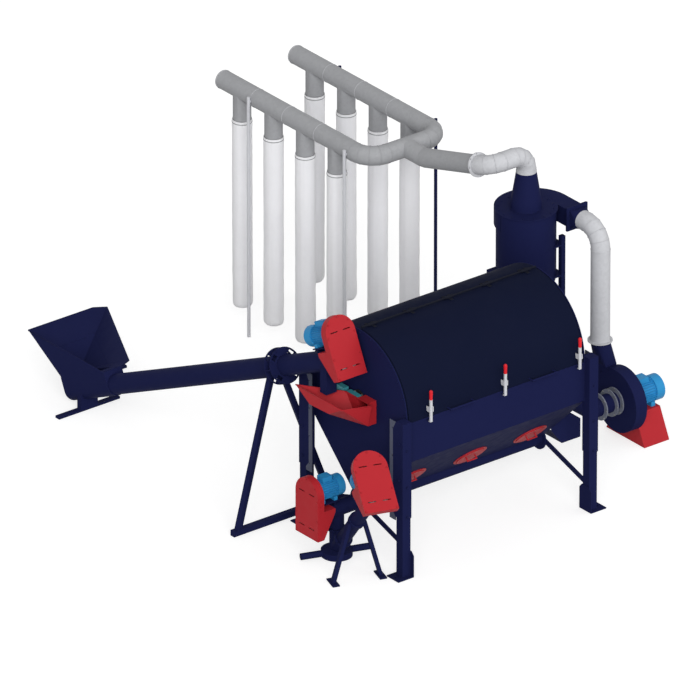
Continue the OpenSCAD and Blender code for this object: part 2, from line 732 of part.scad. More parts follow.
module drum_gearmotor() color(teal) {
    difference() {
        union() {
            box([-end_x - 80, -60, axis_z - 62], [-end_x - 28, 75, axis_z + 58]);
            translate([-end_x - 28, 0, axis_z]) rod_x(48, 3 - gap);
        }
        translate([-end_x - 90, 0, axis_z]) rod_x(drum_shaft_r + bearing_gap, 80);
    }
    translate([-end_x - gearmotor_r - 3, 74, axis_z]) rotate([-90, 0, 0]) {
        cylinder(r=gearmotor_r, h=16);
        cylinder(r=gearmotor_r - 6, h=180);
        for (i = [0:19]) rotate(18 * i) translate([gearmotor_r - 7, -1.5, 20]) cube([7, 3, 130]);
        translate([0, 0, 152]) cylinder(r=gearmotor_r, h=50);
    }
    box([-end_x - 72, 110, axis_z + 30], [-end_x - 24, 200, axis_z + 66]);
}

// ---- Legs ----
module at_corner(sx, sy) translate([sx * leg_x, sy * leg_y, 0])
    mirror([sx < 0 ? 1 : 0, 0, 0]) mirror([0, sy < 0 ? 1 : 0, 0]) children();
module square_tube(w, t, z0, z1) translate([0, 0, z0]) linear_extrude(z1 - z0) difference() {
    square(w, center=true);
    square(w - 2 * t, center=true);
}
// Corner piece in its own axes: +X away from the housing, +Y away from the middle
module sleeve() {
    wall = (sleeve_w - leg_w) / 2 - leg_gap;
    square_tube(sleeve_w, wall, sleeve_z0, sleeve_z1);
    translate([0, 0, sleeve_z1]) linear_extrude(6) square(sleeve_w, center=true);
    difference() {
        box([sleeve_w / 2 - strip_t, -sleeve_w / 2 - strip_w, sleeve_z0 - 30],
            [sleeve_w / 2, -sleeve_w / 2, sleeve_z1]);
        for (z = [sleeve_z0 + 40:strip_pitch:sleeve_z1 - 20])
            translate([0, -sleeve_w / 2 - strip_w / 2 - 2, z]) rod_x(7, sleeve_w);
    }
}
module sleeves_left() color(navy) for (s = [-1, 1]) at_corner(-1, s) sleeve();
module sleeves_right() color(navy) for (s = [-1, 1]) at_corner(1, s) sleeve();
module leg() color(navy) difference() {
    union() {
        square_tube(leg_w, 5, foot_t - eps, sleeve_z1 - 80);
        box([-leg_w / 2 - 8, -foot_w / 2, 0], [foot_w - leg_w / 2, foot_w / 2, foot_t]);
        translate([-leg_w / 2 - 8, 0, 0]) along_x(8) polygon([[-foot_w / 2, 0], [foot_w / 2, 0],
            [foot_w / 2, 190], [foot_w / 2 - 30, 223], [-foot_w / 2 + 30, 223], [-foot_w / 2, 190]]);
    }
    translate([foot_hole, 0, -eps]) cylinder(r=9, h=foot_t + 2 * eps);
}
module leg_front_left() at_corner(-1, -1) leg();
module leg_front_right() at_corner(1, -1) leg();
module leg_rear_left() at_corner(-1, 1) leg();
module leg_rear_right() at_corner(1, 1) leg();
module braces() color(navy) for (sx = [-1, 1]) for (sy = [-1, 1])
    mirror([sx < 0 ? 1 : 0, 0, 0]) mirror([0, sy < 0 ? 1 : 0, 0])
        plate([[end_x + flange_t + 8, brace_y, trough_z - 35],
            [end_x + flange_t + 8, brace_y, trough_z + 15],
            [end_x + flange_t + 8, leg_y - leg_w / 2 - gap, brace_z + 25],
            [end_x + flange_t + 8, leg_y - leg_w / 2 - gap, brace_z - 25]], 8);

// ---- Feed line ----
function feed_axis_z(y) = feed_mid_z - y * tan(feed_tilt);
module drop_spout(d, low) translate([drop_x0 + d, 0, 0]) along_x(drop_x1 - drop_x0 - 2 * d)
    polygon([[drop_y0 + d, low], [drop_y1 - d, low], [drop_y1 - d, feed_axis_z(drop_y1 - d)],
        [drop_y0 + d, feed_axis_z(drop_y0 + d)]]);
module lantern_plate() difference() {
    rod_x(lantern_r, lantern_t);
    for (a = [45:90:315]) rotate([a, 0, 0])
        box([-eps, -26, feed_r + 13], [lantern_t + eps, 26, lantern_r - 14]);
}
module feed_tube() color(navy) {
    difference() {
        union() {
            in_feed() {
                translate([hopper_top_s, 0, 0]) rod_x(feed_r, feed_end_s - hopper_top_s);
                for (s = [-lantern_half, lantern_half - lantern_t])
                    translate([feed_flange_s + s, 0, 0]) lantern_plate();
                for (a = [0:90:270]) translate([feed_flange_s - lantern_rib, 0, 0]) rotate([a, 0, 0])
                    box([0, -5, feed_r - 2], [2 * lantern_rib, 5, lantern_r - 2]);
            }
            drop_spout(0, chute_rim_z + 6);
        }
        in_feed() translate([hopper_top_s - eps, 0, 0]) rod_x(feed_r - 5, feed_end_s - hopper_top_s + eps);
        drop_spout(5, chute_rim_z + 5);
    }
    at_feed_drive() {
        motor_bracket(feed_r, feed_motor_l);
        tube_head(feed_r);
    }
}
// The solid under the hopper's rim, down to the top of the screw's trough
module hopper_funnel(d, low) polyhedron(concat([for (p = inset(hopper_rim, d)) p + [0, 0, low]],
    [hopper_low[0] + [d, -d, -low], hopper_low[1] + [-d, -d, -low]]),
    [[5, 4, 3, 2, 1, 0], [0, 6, 5], [5, 6, 7, 4], [4, 7, 3], [3, 7, 2], [2, 7, 1], [0, 1, 7, 6]]);
module feed_hopper() color(navy) {
    difference() {
        union() {
            in_feed() translate([feed_low_s, 0, 0])
                along_x(hopper_top_s - feed_low_s) trough2d(hopper_half, hopper_wall);
            hopper_funnel(0, 0);
        }
        in_feed() translate([feed_low_s, 0, 0])
            along_x(hopper_top_s - feed_low_s) trough2d(hopper_half - hopper_t, hopper_wall + 3);
        hopper_funnel(hopper_t + 0.5, hopper_t);
    }
    in_feed() difference() {
        union() {
            translate([feed_low_s - 8, 0, 0]) along_x(8) trough2d(hopper_half, hopper_wall);
            translate([feed_low_s - 30, 0, 0]) rod_x(45, 30);
        }
        translate([feed_low_s - 40, 0, 0]) rod_x(shaft_r + bearing_gap, 60);
    }
    in_feed() difference() {
        translate([hopper_top_s, 0, 0]) along_x(8) trough2d(hopper_half, hopper_wall);
        translate([hopper_top_s - eps, 0, 0]) rod_x(feed_r + gap, 10);
    }
    hopper_skids();
}
// The bar and post under the trough, and the strut and foot under the wide side
module hopper_skids() {
    box([hopper_x0 - 216, skid_y - 25, 0], [hopper_x0 + 404, skid_y + 25, 20]);
    difference() {
        box([hopper_x0 + 6, skid_y - 25, 19], [hopper_x1 - 6, skid_y + 25, feed_axis_z(skid_y) - 20]);
        in_feed() translate([feed_low_s, 0, 0]) rod_x(hopper_half - 2, hopper_top_s - feed_low_s);
    }
    edge = hopper_rim[3] * 0.82 + hopper_rim[2] * 0.18;
    foot = [edge.x - 18, edge.y - 35, 0];
    box(foot + [-100, -25, 0], foot + [130, 25, 20]);
    bar(foot + [0, 0, 10], edge * 0.92 + hopper_low[1] * 0.08, 40, 8);
}
module trough2d(r, top) {
    circle(r);
    translate([-r, 0]) square([2 * r, top]);
}
module feed_screw() at_feed_drive()
    screw(feed_low_s - feed_pulley_s - 25, feed_low_s - feed_pulley_s + run_gap,
        feed_end_s - feed_pulley_s - 12, feed_r - 5 - run_gap, feed_pitch);
module feed_motor() at_feed_drive() drive_motor(feed_motor_l);
module feed_motor_pulley() at_feed_drive() drive_pulley();
module feed_guard() at_feed_drive() belt_guard(50);

module auger_stand() color(navy) difference() {
    saddle_z = feed_axis_z(saddle_y);
    union() {
        box([feed_x - 498, stand_y - 25, 0], [feed_x + 532, stand_y + 25, 50]);
        in_feed() translate([-saddle_y / cos(feed_tilt) - 20, 0, 0]) rod_x(feed_r + 10, 40);
        bar([feed_x - 440, stand_y, 40], [feed_x - 55, saddle_y, saddle_z - 66], 45, 45);
        bar([feed_x + 500, stand_y, 40], [feed_x + 55, saddle_y, saddle_z - 66], 45, 45);
    }
    in_feed() translate([-saddle_y / cos(feed_tilt) - 100, 0, 0]) rod_x(feed_r + gap, 200);
}
// The solid between a rim and a floor of four points each, both anticlockwise from above
module funnel(rim, floor) polyhedron(concat(rim, floor), concat([[0, 3, 2, 1], [4, 5, 6], [4, 6, 7]],
    [for (i = [0:3]) let (j = (i + 1) % 4) each [[i, j, j + 4], [i, j + 4, i + 4]]]));
module feed_chute() color(red) {
    x0 = chute_x0;
    x1 = chute_x1;
    rim = [[x0, -185, chute_rim_z], [x1, -267, chute_rim_z], [x1, 68, chute_rim_z], [x0, 415, chute_rim_z]];
    floor = [[x0, -20, chute_z + 105], [x1, inlet_y0, chute_z], [x1, inlet_y1, chute_z],
        [x0, 230, chute_z + 95]];
    up = [0, 0, chute_t];
    difference() {
        union() {
            funnel(rim, floor);
            box([x1 - chute_t / 2, inlet_y0, chute_z], [-end_x, inlet_y1, inlet_z1 + 6]);
        }
        funnel([for (p = inset(rim, chute_t)) p + up], [for (p = inset(floor, chute_t)) p + up]);
        box([x1 - 2 * chute_t, inlet_y0 + chute_t, chute_z + chute_t],
            [-end_x + eps, inlet_y1 - chute_t, inlet_z1]);
    }
}

// ---- Trough screw drive ----
module trough_tube() color(navy) {
    difference() {
        union() {
            translate([trough_tube_x, 0, trough_z]) rod_x(trough_ro, -end_x - flange_t - trough_tube_x);
            translate([-end_x - flange_t - 10, 0, trough_z]) rod_x(tube_flange_r, 10);
            translate([boot_x, 0, spout_z]) cylinder(r=spout_r, h=trough_z - spout_z);
        }
        translate([trough_tube_x - eps, 0, trough_z]) rod_x(trough_r, -end_x - trough_tube_x + 2 * eps);
        translate([boot_x, 0, spout_z - eps]) cylinder(r=spout_r - 4, h=trough_z - spout_z);
    }
    translate([boot_x, 0, spout_z]) ring_flat(spout_r + 18, spout_r - 4, 8);
    at_trough_drive() {
        motor_bracket(trough_ro);
        tube_head(trough_ro);
    }
}
module ring_flat(r1, r0, t) difference() {
    cylinder(r=r1, h=t);
    translate([0, 0, -eps]) cylinder(r=r0, h=t + 2 * eps);
}
module trough_screw() at_trough_drive()
    screw(trough_pulley_x - end_x - flange_t + 2, trough_pulley_x - drum_l / 2 + run_gap,
        -tube_end - 12, trough_r - run_gap, 120);
module trough_motor() at_trough_drive() drive_motor();
module trough_motor_pulley() at_trough_drive() drive_pulley();
module trough_guard() at_trough_drive() belt_guard(50);

// ---- Boot and lifting screw ----
module boot() color(navy) difference() {
    union() {
        translate([boot_x, 0, 0]) rotate_extrude() polygon([[0, 0], [boot_r, 0], [boot_r, boot_rim_z],
            [spout_r, boot_z], [spout_r, spout_z - 8], [spout_r + 18, spout_z - 8],
            [spout_r + 18, spout_z], [0, spout_z]]);
        in_lift() translate([boot_z / 2, 0, 0]) rod_x(lift_r, lift_joint_s - boot_z / 2);
        in_lift() translate([lift_joint_s - 8, 0, 0]) rod_x(lift_r + 18, 8);
        translate([boot_x, 0, boot_z / 2]) rotate(-19) translate([-304, 0, 0]) rod_x(28, 608);
    }
    translate([boot_x, 0, boot_low]) cylinder(r=spout_r - 4, h=spout_z);
    in_lift() translate([boot_z / 2, 0, 0]) rod_x(lift_r - 4, lift_joint_s);
    translate([boot_x, 0, boot_z / 2]) rotate(-19) for (s = [-1, 1])
        translate([s > 0 ? boot_r + 10 : -305, 0, 0]) rod_x(24, 305 - boot_r - 10);
}
module lift_tube() color(navy) {
    in_lift() {
        difference() {
            union() {
                translate([lift_joint_s, 0, 0]) rod_x(lift_r, lift_pulley_s - tube_end - lift_joint_s);
                translate([lift_joint_s, 0, 0]) rod_x(lift_r + 18, 8);
            }
            translate([lift_joint_s - eps, 0, 0]) rod_x(lift_r - 4, lift_pulley_s);
        }
    }
    at_lift_drive() {
        motor_bracket(lift_r);
        tube_head(lift_r);
    }
}
module lift_screw() at_lift_drive()
    screw(70 - lift_pulley_s, 82 - lift_pulley_s, -tube_end - 12, lift_r - 4 - run_gap, 95);
module lift_motor() at_lift_drive() drive_motor();
module lift_motor_pulley() at_lift_drive() drive_pulley();
module lift_guard() at_lift_drive() belt_guard(50);
module lift_stand() color(navy) difference() {
    h = [cos(lift_head), sin(lift_head), 0];
    n = [-h.y, h.x, 0];
    top = [boot_x, 0, boot_z] + stand_s * (cos(lift_tilt) * h + [0, 0, sin(lift_tilt)]);
    union() {
        in_lift() translate([stand_s - 25, 0, 0]) rod_x(lift_r + 12, 50);
        for (s = [-1, 1]) {
            foot = [top.x, top.y, 0] + s * 200 * n;
            bar(foot + [0, 0, 8], top + s * (lift_r + 4) * n + [0, 0, -10], 45, 30);
            translate(foot) rotate(lift_head) box([-75, -30, 0], [75, 30, 12]);
        }
    }
    in_lift() translate([stand_s - 100, 0, 0]) rod_x(lift_r + gap, 200);
}
module belts() color(black) {
    at_feed_drive() belt();
    at_trough_drive() belt();
    at_lift_drive() belt();
}

// ---- Fan end ----
module overs2d(d) {
    e = d > 0 ? eps : 0;
    polygon([[end_x - e, overs_z0 - 20 + d], [end_x - e, overs_z1 + 10 - d], [end_x, overs_z1 + 10 - d],
        [end_x + 300 - d, overs_z0 - d], [end_x + 300 - d, chute_low_z - e],
        [end_x + 110 + d, chute_low_z - e], [end_x, overs_z0 - 20 + d]]);
}
module discharge_chute() color(navy) difference() {
    translate([0, overs_y1 + 10, 0]) rotate([90, 0, 0])
        linear_extrude(overs_y1 - overs_y0 + 20) overs2d(0);
    translate([0, overs_y1 + 6, 0]) rotate([90, 0, 0])
        linear_extrude(overs_y1 - overs_y0 + 12) overs2d(4);
}
module suction_duct() color(grey) {
    duct(suction_route, 120);
    for (d = [5, 60, 170]) ring([fan_x0 - d, fan_y, fan_z], [1, 0, 0], 116);
}
module scroll2d(d) {
    circle(fan_r - d);
    translate([fan_r - 150 + d, 0]) square([150 - 2 * d, scroll_top - fan_z + (d > 0 ? eps : 0)]);
}
module fan_scroll() color(navy) {
    difference() {
        translate([fan_x0, fan_y, fan_z]) along_x(fan_w) scroll2d(0);
        translate([fan_x0 + fan_wall, fan_y, fan_z]) along_x(fan_w - 2 * fan_wall) scroll2d(fan_wall);
        translate([fan_x0 - eps, fan_y, fan_z]) rod_x(fan_inlet_r, fan_wall + 2 * eps);
        translate([fan_x1 - fan_wall - eps, fan_y, fan_z]) rod_x(24, fan_wall + 2 * eps);
    }
}
module fan_rotor() color(steel) translate([fan_x0, fan_y, fan_z]) {
    translate([fan_w - fan_wall - 12, 0, 0]) rod_x(200, 4);
    translate([22, 0, 0]) rod_x(34, fan_w - fan_wall - 30);
    for (a = [0:45:315]) rotate([a, 0, 0]) translate([26, -2, 30]) cube([fan_w - fan_wall - 36, 4, 168]);
    translate([60, 0, 0]) rod_x(16, fan_w - 60 + 60);
}
module fan_motor() color(blue) translate([fan_x1, fan_y, fan_z]) mirror([1, 0, 0])
    motor(fan_motor_r, 330, 16 + gap);
module fan_pedestal() color(red) difference() {
    translate([fan_x1, fan_y, 0]) along_x(pedestal_l)
        polygon([[-241, 0], [249, 0], [120, fan_foot_z], [-120, fan_foot_z]]);
    translate([fan_x1 + 5, fan_y, 0]) along_x(pedestal_l - 10)
        polygon([[-232, -eps], [240, -eps], [112, fan_foot_z - 5], [-112, fan_foot_z - 5]]);
    for (y = [-75, 75]) box([fan_x1 + pedestal_l - 6, fan_y + y - 30, 90],
        [fan_x1 + pedestal_l + eps, fan_y + y + 30, 104]);
}
module riser_duct() color(grey) {
    duct([[riser_x, riser_y, transition_top], [riser_x, riser_y, duct_z], [riser_x, cyc_in_y0, duct_z]]);
    ring([riser_x, riser_y, transition_top + 5], [0, 0, 1]);
    difference() {
        riser_boot(0);
        riser_boot(duct_t);
    }
}
module riser_boot(d) hull() {
    box([fan_x0 + d, fan_y + fan_r - 150 + d, scroll_top - (d > 0 ? eps : 0)],
        [fan_x1 - d, fan_y + fan_r - d, scroll_top + 4]);
    translate([riser_x, riser_y, transition_top - 4])
        cylinder(r=duct_r - d, h=4 + (d > 0 ? eps : 0), $fn=32);
}

// ---- Cyclone ----
module cyclone() color(navy) translate([cyc_x, cyc_y, 0]) {
    gate_runner();
    difference() {
        rotate_extrude() polygon([[0, cyc_top], [cyc_r + 12, cyc_top], [cyc_r + 12, cyc_top - 6],
            [cyc_r, cyc_top - 6], [cyc_r, cyc_cone_z], [dust_r, cyc_low_z + 60], [dust_r, cyc_low_z + 8],
            [dust_r + 30, cyc_low_z + 8], [dust_r + 30, cyc_low_z], [0, cyc_low_z]]);
        rotate_extrude() polygon([[0, cyc_top - 4], [cyc_r - 4, cyc_top - 4], [cyc_r - 4, cyc_cone_z],
            [dust_r - 4, cyc_low_z + 60], [dust_r - 4, cyc_low_z - eps], [0, cyc_low_z - eps]]);
        translate([0, 0, cyc_top - 10]) cylinder(r=duct_out_r, h=20);
        box([0, 0, duct_z - duct_r + 4], [cyc_r + eps, cyc_r + eps, cyc_top - 6]);
    }
}
// Runner under the cyclone's mouth, on both sides of the gate
module gate_runner() both_sides() {
    box([-dust_r - 30, dust_r + 20 + gap, cyc_low_z - 10], [dust_r + 30, dust_r + 30, cyc_low_z + 2]);
    box([-dust_r - 30, dust_r + 10, cyc_low_z - 10],
        [dust_r + 30, dust_r + 30, cyc_low_z - gate_t - gap]);
}
module volute2d(d) {
    w = riser_x + duct_r - cyc_x;
    intersection() {
        translate([(w - cyc_r) / 2, 0]) circle((w + cyc_r) / 2 - d);
        translate([-2 * cyc_r, 0]) square([4 * cyc_r, 2 * cyc_r]);
    }
    translate([cyc_r - 8 + d, cyc_in_y1 - cyc_y - (d > 0 ? eps : 0)])
        square([w - cyc_r + 8 - 2 * d, cyc_y - cyc_in_y1 + 2]);
}
module cyclone_inlet() color(navy) {
    z0 = duct_z - duct_r;
    difference() {
        translate([cyc_x, cyc_y, z0]) linear_extrude(cyc_top - 6 - z0) volute2d(0);
        translate([cyc_x, cyc_y, z0 + 4]) linear_extrude(cyc_top - 14 - z0) volute2d(4);
        translate([cyc_x, cyc_y, z0 - eps]) cylinder(r=cyc_r + gap, h=cyc_top - z0);
    }
    difference() {
        inlet_boot(0);
        inlet_boot(duct_t);
    }
    difference() {
        box([riser_x - 105, cyc_in_y1 - 10, duct_z - 105], [riser_x + 105, cyc_in_y1 + 10, duct_z + 100]);
        box([riser_x - 76, cyc_in_y1 - 11, duct_z - 76], [riser_x + 76, cyc_in_y1 + 12, duct_z + 70]);
    }
}
module inlet_boot(d) hull() {
    translate([riser_x, cyc_in_y0 - (d > 0 ? eps : 0), duct_z]) rotate([-90, 0, 0])
        cylinder(r=duct_r - d, h=4, $fn=32);
    box([riser_x - 80 + d, cyc_in_y1 - 14, duct_z - 80 + d],
        [riser_x + 80 - d, cyc_in_y1 - 10 + (d > 0 ? eps : 0), duct_z + 74 - d]);
}
module cyclone_stand() color(navy) {
    side = 2 * cyc_leg + 40;
    ring_z = cyc_cone_z + 20;
    for (sx = [-1, 1]) for (sy = [-1, 1]) translate([cyc_x + sx * cyc_leg, cyc_y + sy * cyc_leg, 0]) {
        box([-20, -20, 0], [20, 20, sx < 0 ? ring_z + bracket_t : 1645]);
        box([-50, -50, 0], [50, 50, 8]);
    }
    for (x = [-side / 2, 0]) translate([cyc_x, cyc_y, x < 0 ? ring_z : 1560]) difference() {
        box([x, -side / 2, 0], [side / 2, side / 2, bracket_t]);
        translate([0, 0, -eps]) cylinder(r=cyc_r + gap, h=bracket_t + 2 * eps);
    }
    translate([cyc_x, cyc_y, 420]) difference() {
        linear_extrude(30) square(side, center=true);
        translate([0, 0, -eps]) linear_extrude(40) square(side - 80, center=true);
    }
}
module dust_gate() color(steel) translate([cyc_x, cyc_y, cyc_low_z - gate_t]) {
    box([-dust_r - 30, -dust_r - 20, 0], [dust_r + 60, dust_r + 20, gate_t - gap]);
    box([dust_r + 60, -50, -20], [dust_r + 68, 50, 12]);
}
module clean_air_pipe() color(grey) {
    duct(out_route, out_bend_r);
    translate([cyc_x, cyc_y, 0]) rotate_extrude() polygon([[duct_out_r, cyc_top],
        [duct_out_r, cyc_top + 48], [duct_r - duct_t / 2, cone_top], [duct_r - duct_t / 2, cone_top + 12],
        [duct_r + 4, cone_top + 12], [duct_r + 4, cone_top], [duct_out_r + duct_t, cyc_top + 48],
        [duct_out_r + duct_t, cyc_top + 8], [duct_out_r + 8, cyc_top + 8], [duct_out_r + 8, cyc_top]]);
    ring(out_route[2] + unit(out_route[3] - out_route[2]) * 150, out_route[3] - out_route[2]);
}

// ---- Filter manifold ----
module manifold_row(x) color(grey) {
    l = bag_y0 + 3 * bag_pitch + 250;
    difference() {
        union() {
            rod([x, bag_y0 - 110, man_z], [x, l, man_z], duct_r);
            for (i = [0:3]) translate([x, bag_y0 + i * bag_pitch, bag_z1 + gap])
                cylinder(r=bag_r - 7, h=man_z - bag_z1);
        }
        rod([x, bag_y0 - 111, man_z], [x, l - 4, man_z], duct_r - duct_t);
        for (i = [0:3]) translate([x, bag_y0 + i * bag_pitch, bag_z1 + gap - eps])
            cylinder(r=bag_r - 10, h=man_z - bag_z1);
    }
}
module manifold_left() manifold_row(row_xs[0]);
module manifold_right() manifold_row(row_xs[1]);
module manifold_tee() color(grey) difference() {
    union() {
        pipe(tee_route, bend_r, duct_r);
        rod(out_route[len(out_route) - 1], [tee_x, tee_y, man_z], duct_r);
    }
    pipe(tee_route, bend_r, duct_r - duct_t, eps);
    rod(out_route[len(out_route) - 1] - [0, 2, 0], [tee_x, tee_y, man_z], duct_r - duct_t);
}
module bag_row(x) color(cloth) for (i = [0:3])
    translate([x, bag_y0 + i * bag_pitch, bag_z0]) cylinder(r=bag_r, h=bag_z1 - bag_z0);
module bags_left() bag_row(row_xs[0]);
module bags_right() bag_row(row_xs[1]);
module bag_poles() color(navy) for (s = [-1, 1]) for (y = pole_ys) {
    side_x = row_xs[s < 0 ? 0 : 1] + s * (duct_r + gap);
    pole_x = row_xs[s < 0 ? 0 : 1] + s * (duct_r + pole_r + 2);
    translate([pole_x, y, 0]) cylinder(r=pole_r, h=man_z + 37);
    box([min(side_x, pole_x), y - 12, man_z - 10], [max(side_x, pole_x), y + 12, man_z + 10]);
}

tub();
end_plate_left();
end_plate_right();
rear_hood();
lid();
drum();
drum_screen();
drum_bearings();
drum_gearmotor();
latch_left();
latch_middle();
latch_right();
latch_keepers();
inspection_covers();
sleeves_left();
sleeves_right();
braces();
leg_front_left();
leg_front_right();
leg_rear_left();
leg_rear_right();
feed_chute();
feed_tube();
feed_hopper();
feed_screw();
feed_motor();
feed_motor_pulley();
feed_guard();
auger_stand();
trough_tube();
trough_screw();
trough_motor();
trough_motor_pulley();
trough_guard();
boot();
lift_tube();
lift_screw();
lift_motor();
lift_motor_pulley();
lift_guard();
lift_stand();
belts();
discharge_chute();
suction_duct();
fan_scroll();
fan_rotor();
fan_motor();
fan_pedestal();
riser_duct();
cyclone();
cyclone_inlet();
cyclone_stand();
dust_gate();
clean_air_pipe();
manifold_tee();
manifold_left();
manifold_right();
bags_left();
bags_right();
bag_poles();
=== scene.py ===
"""The looks of a rotary drum grain cleaner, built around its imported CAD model."""

import json
import logging
import math
from dataclasses import dataclass
from enum import Enum
from typing import Callable, Iterable, Sequence

import bmesh
import bpy
from mathutils import Matrix, Vector, noise

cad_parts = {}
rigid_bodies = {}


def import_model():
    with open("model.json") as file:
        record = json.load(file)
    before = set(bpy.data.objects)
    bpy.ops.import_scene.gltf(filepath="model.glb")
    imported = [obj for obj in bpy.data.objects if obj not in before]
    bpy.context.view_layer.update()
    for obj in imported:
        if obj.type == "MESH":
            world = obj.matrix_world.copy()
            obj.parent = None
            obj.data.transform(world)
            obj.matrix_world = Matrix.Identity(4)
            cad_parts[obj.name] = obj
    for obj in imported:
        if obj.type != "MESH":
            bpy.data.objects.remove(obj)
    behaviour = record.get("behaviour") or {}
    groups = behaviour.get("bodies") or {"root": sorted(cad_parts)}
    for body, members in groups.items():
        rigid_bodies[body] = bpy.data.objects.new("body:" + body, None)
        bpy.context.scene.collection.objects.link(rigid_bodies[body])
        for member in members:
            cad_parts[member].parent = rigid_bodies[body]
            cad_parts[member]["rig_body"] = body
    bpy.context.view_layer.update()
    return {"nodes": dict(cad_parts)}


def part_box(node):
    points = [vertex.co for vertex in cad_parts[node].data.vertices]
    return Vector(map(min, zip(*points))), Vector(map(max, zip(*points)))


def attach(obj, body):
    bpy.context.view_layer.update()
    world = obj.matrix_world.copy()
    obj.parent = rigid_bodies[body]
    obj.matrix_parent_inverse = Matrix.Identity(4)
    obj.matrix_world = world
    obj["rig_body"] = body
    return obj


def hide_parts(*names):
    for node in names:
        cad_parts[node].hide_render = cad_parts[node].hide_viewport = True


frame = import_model()
log = logging.getLogger("grain_cleaner")

Point = tuple[float, float, float]
Node = bpy.types.Node
Socket = bpy.types.NodeSocket
Sockets = dict[str, Socket]
FLOAT, COLOUR, VECTOR = "NodeSocketFloat", "NodeSocketColor", "NodeSocketVector"
COUNT, GEOMETRY, MATERIAL = "NodeSocketInt", "NodeSocketGeometry", "NodeSocketMaterial"
X, Y, Z = Vector((1, 0, 0)), Vector((0, 1, 0)), Vector((0, 0, 1))
DETAIL_GAP = 0.0002  # how far a flat detail stands off its wall
SEAM_RISE = 0.0008  # how far a seam's middle line stands out of its sheet


# ---- Node tools ----
def linear(colour: Sequence[float]) -> tuple[float, float, float, float]:
    """Turns an 8-bit display colour into a linear one.

    Args:
        colour: red, green and blue from 0 to 255.

    Returns:
        The linear colour, with an alpha of 1.
    """
    parts = [c / 255 for c in colour]
    mixed = [c / 12.92 if c <= 0.04045 else ((c + 0.055) / 1.055) ** 2.4 for c in parts]
    return (mixed[0], mixed[1], mixed[2], 1.0)


class Graph:
    """Adds nodes to a tree and joins them."""

    def __init__(self, tree: bpy.types.NodeTree) -> None:
        """Starts the tree empty."""
        self.tree = tree
        tree.nodes.clear()

    def add(self, kind: str, inputs: dict | None = None, **settings: object) -> Node:
        """Adds one node.

        Args:
            kind: the node's type name.
            inputs: a value or another node's output for each input, by identifier, name or index.
            settings: the node's own properties.

        Returns:
            The new node.
        """
        node = self.tree.nodes.new(kind)
        for name, value in settings.items():
            setattr(node, name, value)
        for key, value in (inputs or {}).items():
            socket = self.pick(node.inputs, key)
            if isinstance(value, Socket):
                self.tree.links.new(value, socket)
            else:
                socket.default_value = value
        return node

    @staticmethod
    def pick(sockets: bpy.types.bpy_prop_collection, key: str | int) -> Socket:
        """Finds a socket.

        Args:
            sockets: the inputs or outputs to look in.
            key: the socket's identifier, name or index.

        Returns:
            The socket.
        """
        if isinstance(key, int):
            return sockets[key]
        return next((s for s in sockets if s.identifier == key), None) or sockets[key]

    def out(self, kind: str, inputs: dict | None = None, give: str | int = 0,
            **settings: object) -> Socket:
        """Adds one node and gives one of its outputs.

        Args:
            kind: the node's type name.
            inputs: as in add.
            give: the output wanted.
            settings: as in add.

        Returns:
            The output socket.
        """
        return self.pick(self.add(kind, inputs, **settings).outputs, give)

    def sum(self, operation: str, *values: object) -> Socket:
        """Gives the result of one Math node on the values."""
        return self.out("ShaderNodeMath", dict(enumerate(values)), operation=operation)

    def times(self, first: object, second: object) -> Socket:
        """Multiplies two values."""
        return self.sum("MULTIPLY", first, second)

    def plus(self, first: object, second: object) -> Socket:
        """Adds two values."""
        return self.sum("ADD", first, second)

    def vector(self, *parts: object) -> Socket:
        """Joins three numbers into a vector."""
        return self.out("ShaderNodeCombineXYZ", dict(enumerate(parts)))

    def mix(self, factor: object, first: object, second: object, blend: str = "MIX") -> Socket:
        """Mixes two colours.

        Args:
            factor: the share of the second colour.
            first: a colour or an output.
            second: a colour or an output.
            blend: the way of mixing.

        Returns:
            The mixed colour.
        """
        colours = {"Factor_Float": factor, "A_Color": first, "B_Color": second}
        return self.out("ShaderNodeMix", colours, give="Result_Color", data_type="RGBA",
                        blend_type=blend)

    def darken(self, colour: object, level: object) -> Socket:
        """Multiplies a colour by a grey level."""
        grey = self.out("ShaderNodeCombineColor", {0: level, 1: level, 2: level})
        return self.mix(1.0, colour, grey, "MULTIPLY")

    def ramp(self, value: object, low: object, high: object,
             start: object = 0.0, end: object = 1.0) -> Socket:
        """Maps a value from low..high to start..end, held at both ends."""
        return self.out("ShaderNodeMapRange", {"Value": value, "From Min": low, "From Max": high,
                                               "To Min": start, "To Max": end})

    def speckle(self, place: object, scale: object, detail: float = 3.0) -> Socket:
        """Gives a noise value of the given scale."""
        return self.out("ShaderNodeTexNoise", {"Vector": place, "Scale": scale, "Detail": detail,
                                               "Roughness": 0.55}, give="Fac")


Inputs = dict[str, tuple[str, object]]


def node_group(name: str, inputs: Inputs, outputs: dict[str, str],
               fill: Callable[[Graph, Sockets], dict],
               kind: str = "ShaderNodeTree") -> bpy.types.NodeTree:
    """Makes a node group with named sockets.

    Args:
        name: the group's name.
        inputs: type and value of each input; a value of None leaves it as it is.
        outputs: type of each output.
        fill: builds the nodes from the graph and its inputs, and gives each output's source.
        kind: the tree's type name.

    Returns:
        The group's tree.
    """
    tree = bpy.data.node_groups.new(name, kind)
    graph = Graph(tree)
    for label, (socket_type, value) in inputs.items():
        socket = tree.interface.new_socket(label, in_out="INPUT", socket_type=socket_type)
        if value is not None:
            socket.default_value = value
    for label, socket_type in outputs.items():
        tree.interface.new_socket(label, in_out="OUTPUT", socket_type=socket_type)
    source = graph.add("NodeGroupInput")
    graph.add("NodeGroupOutput", fill(graph, {label: source.outputs[label] for label in inputs}))
    return tree


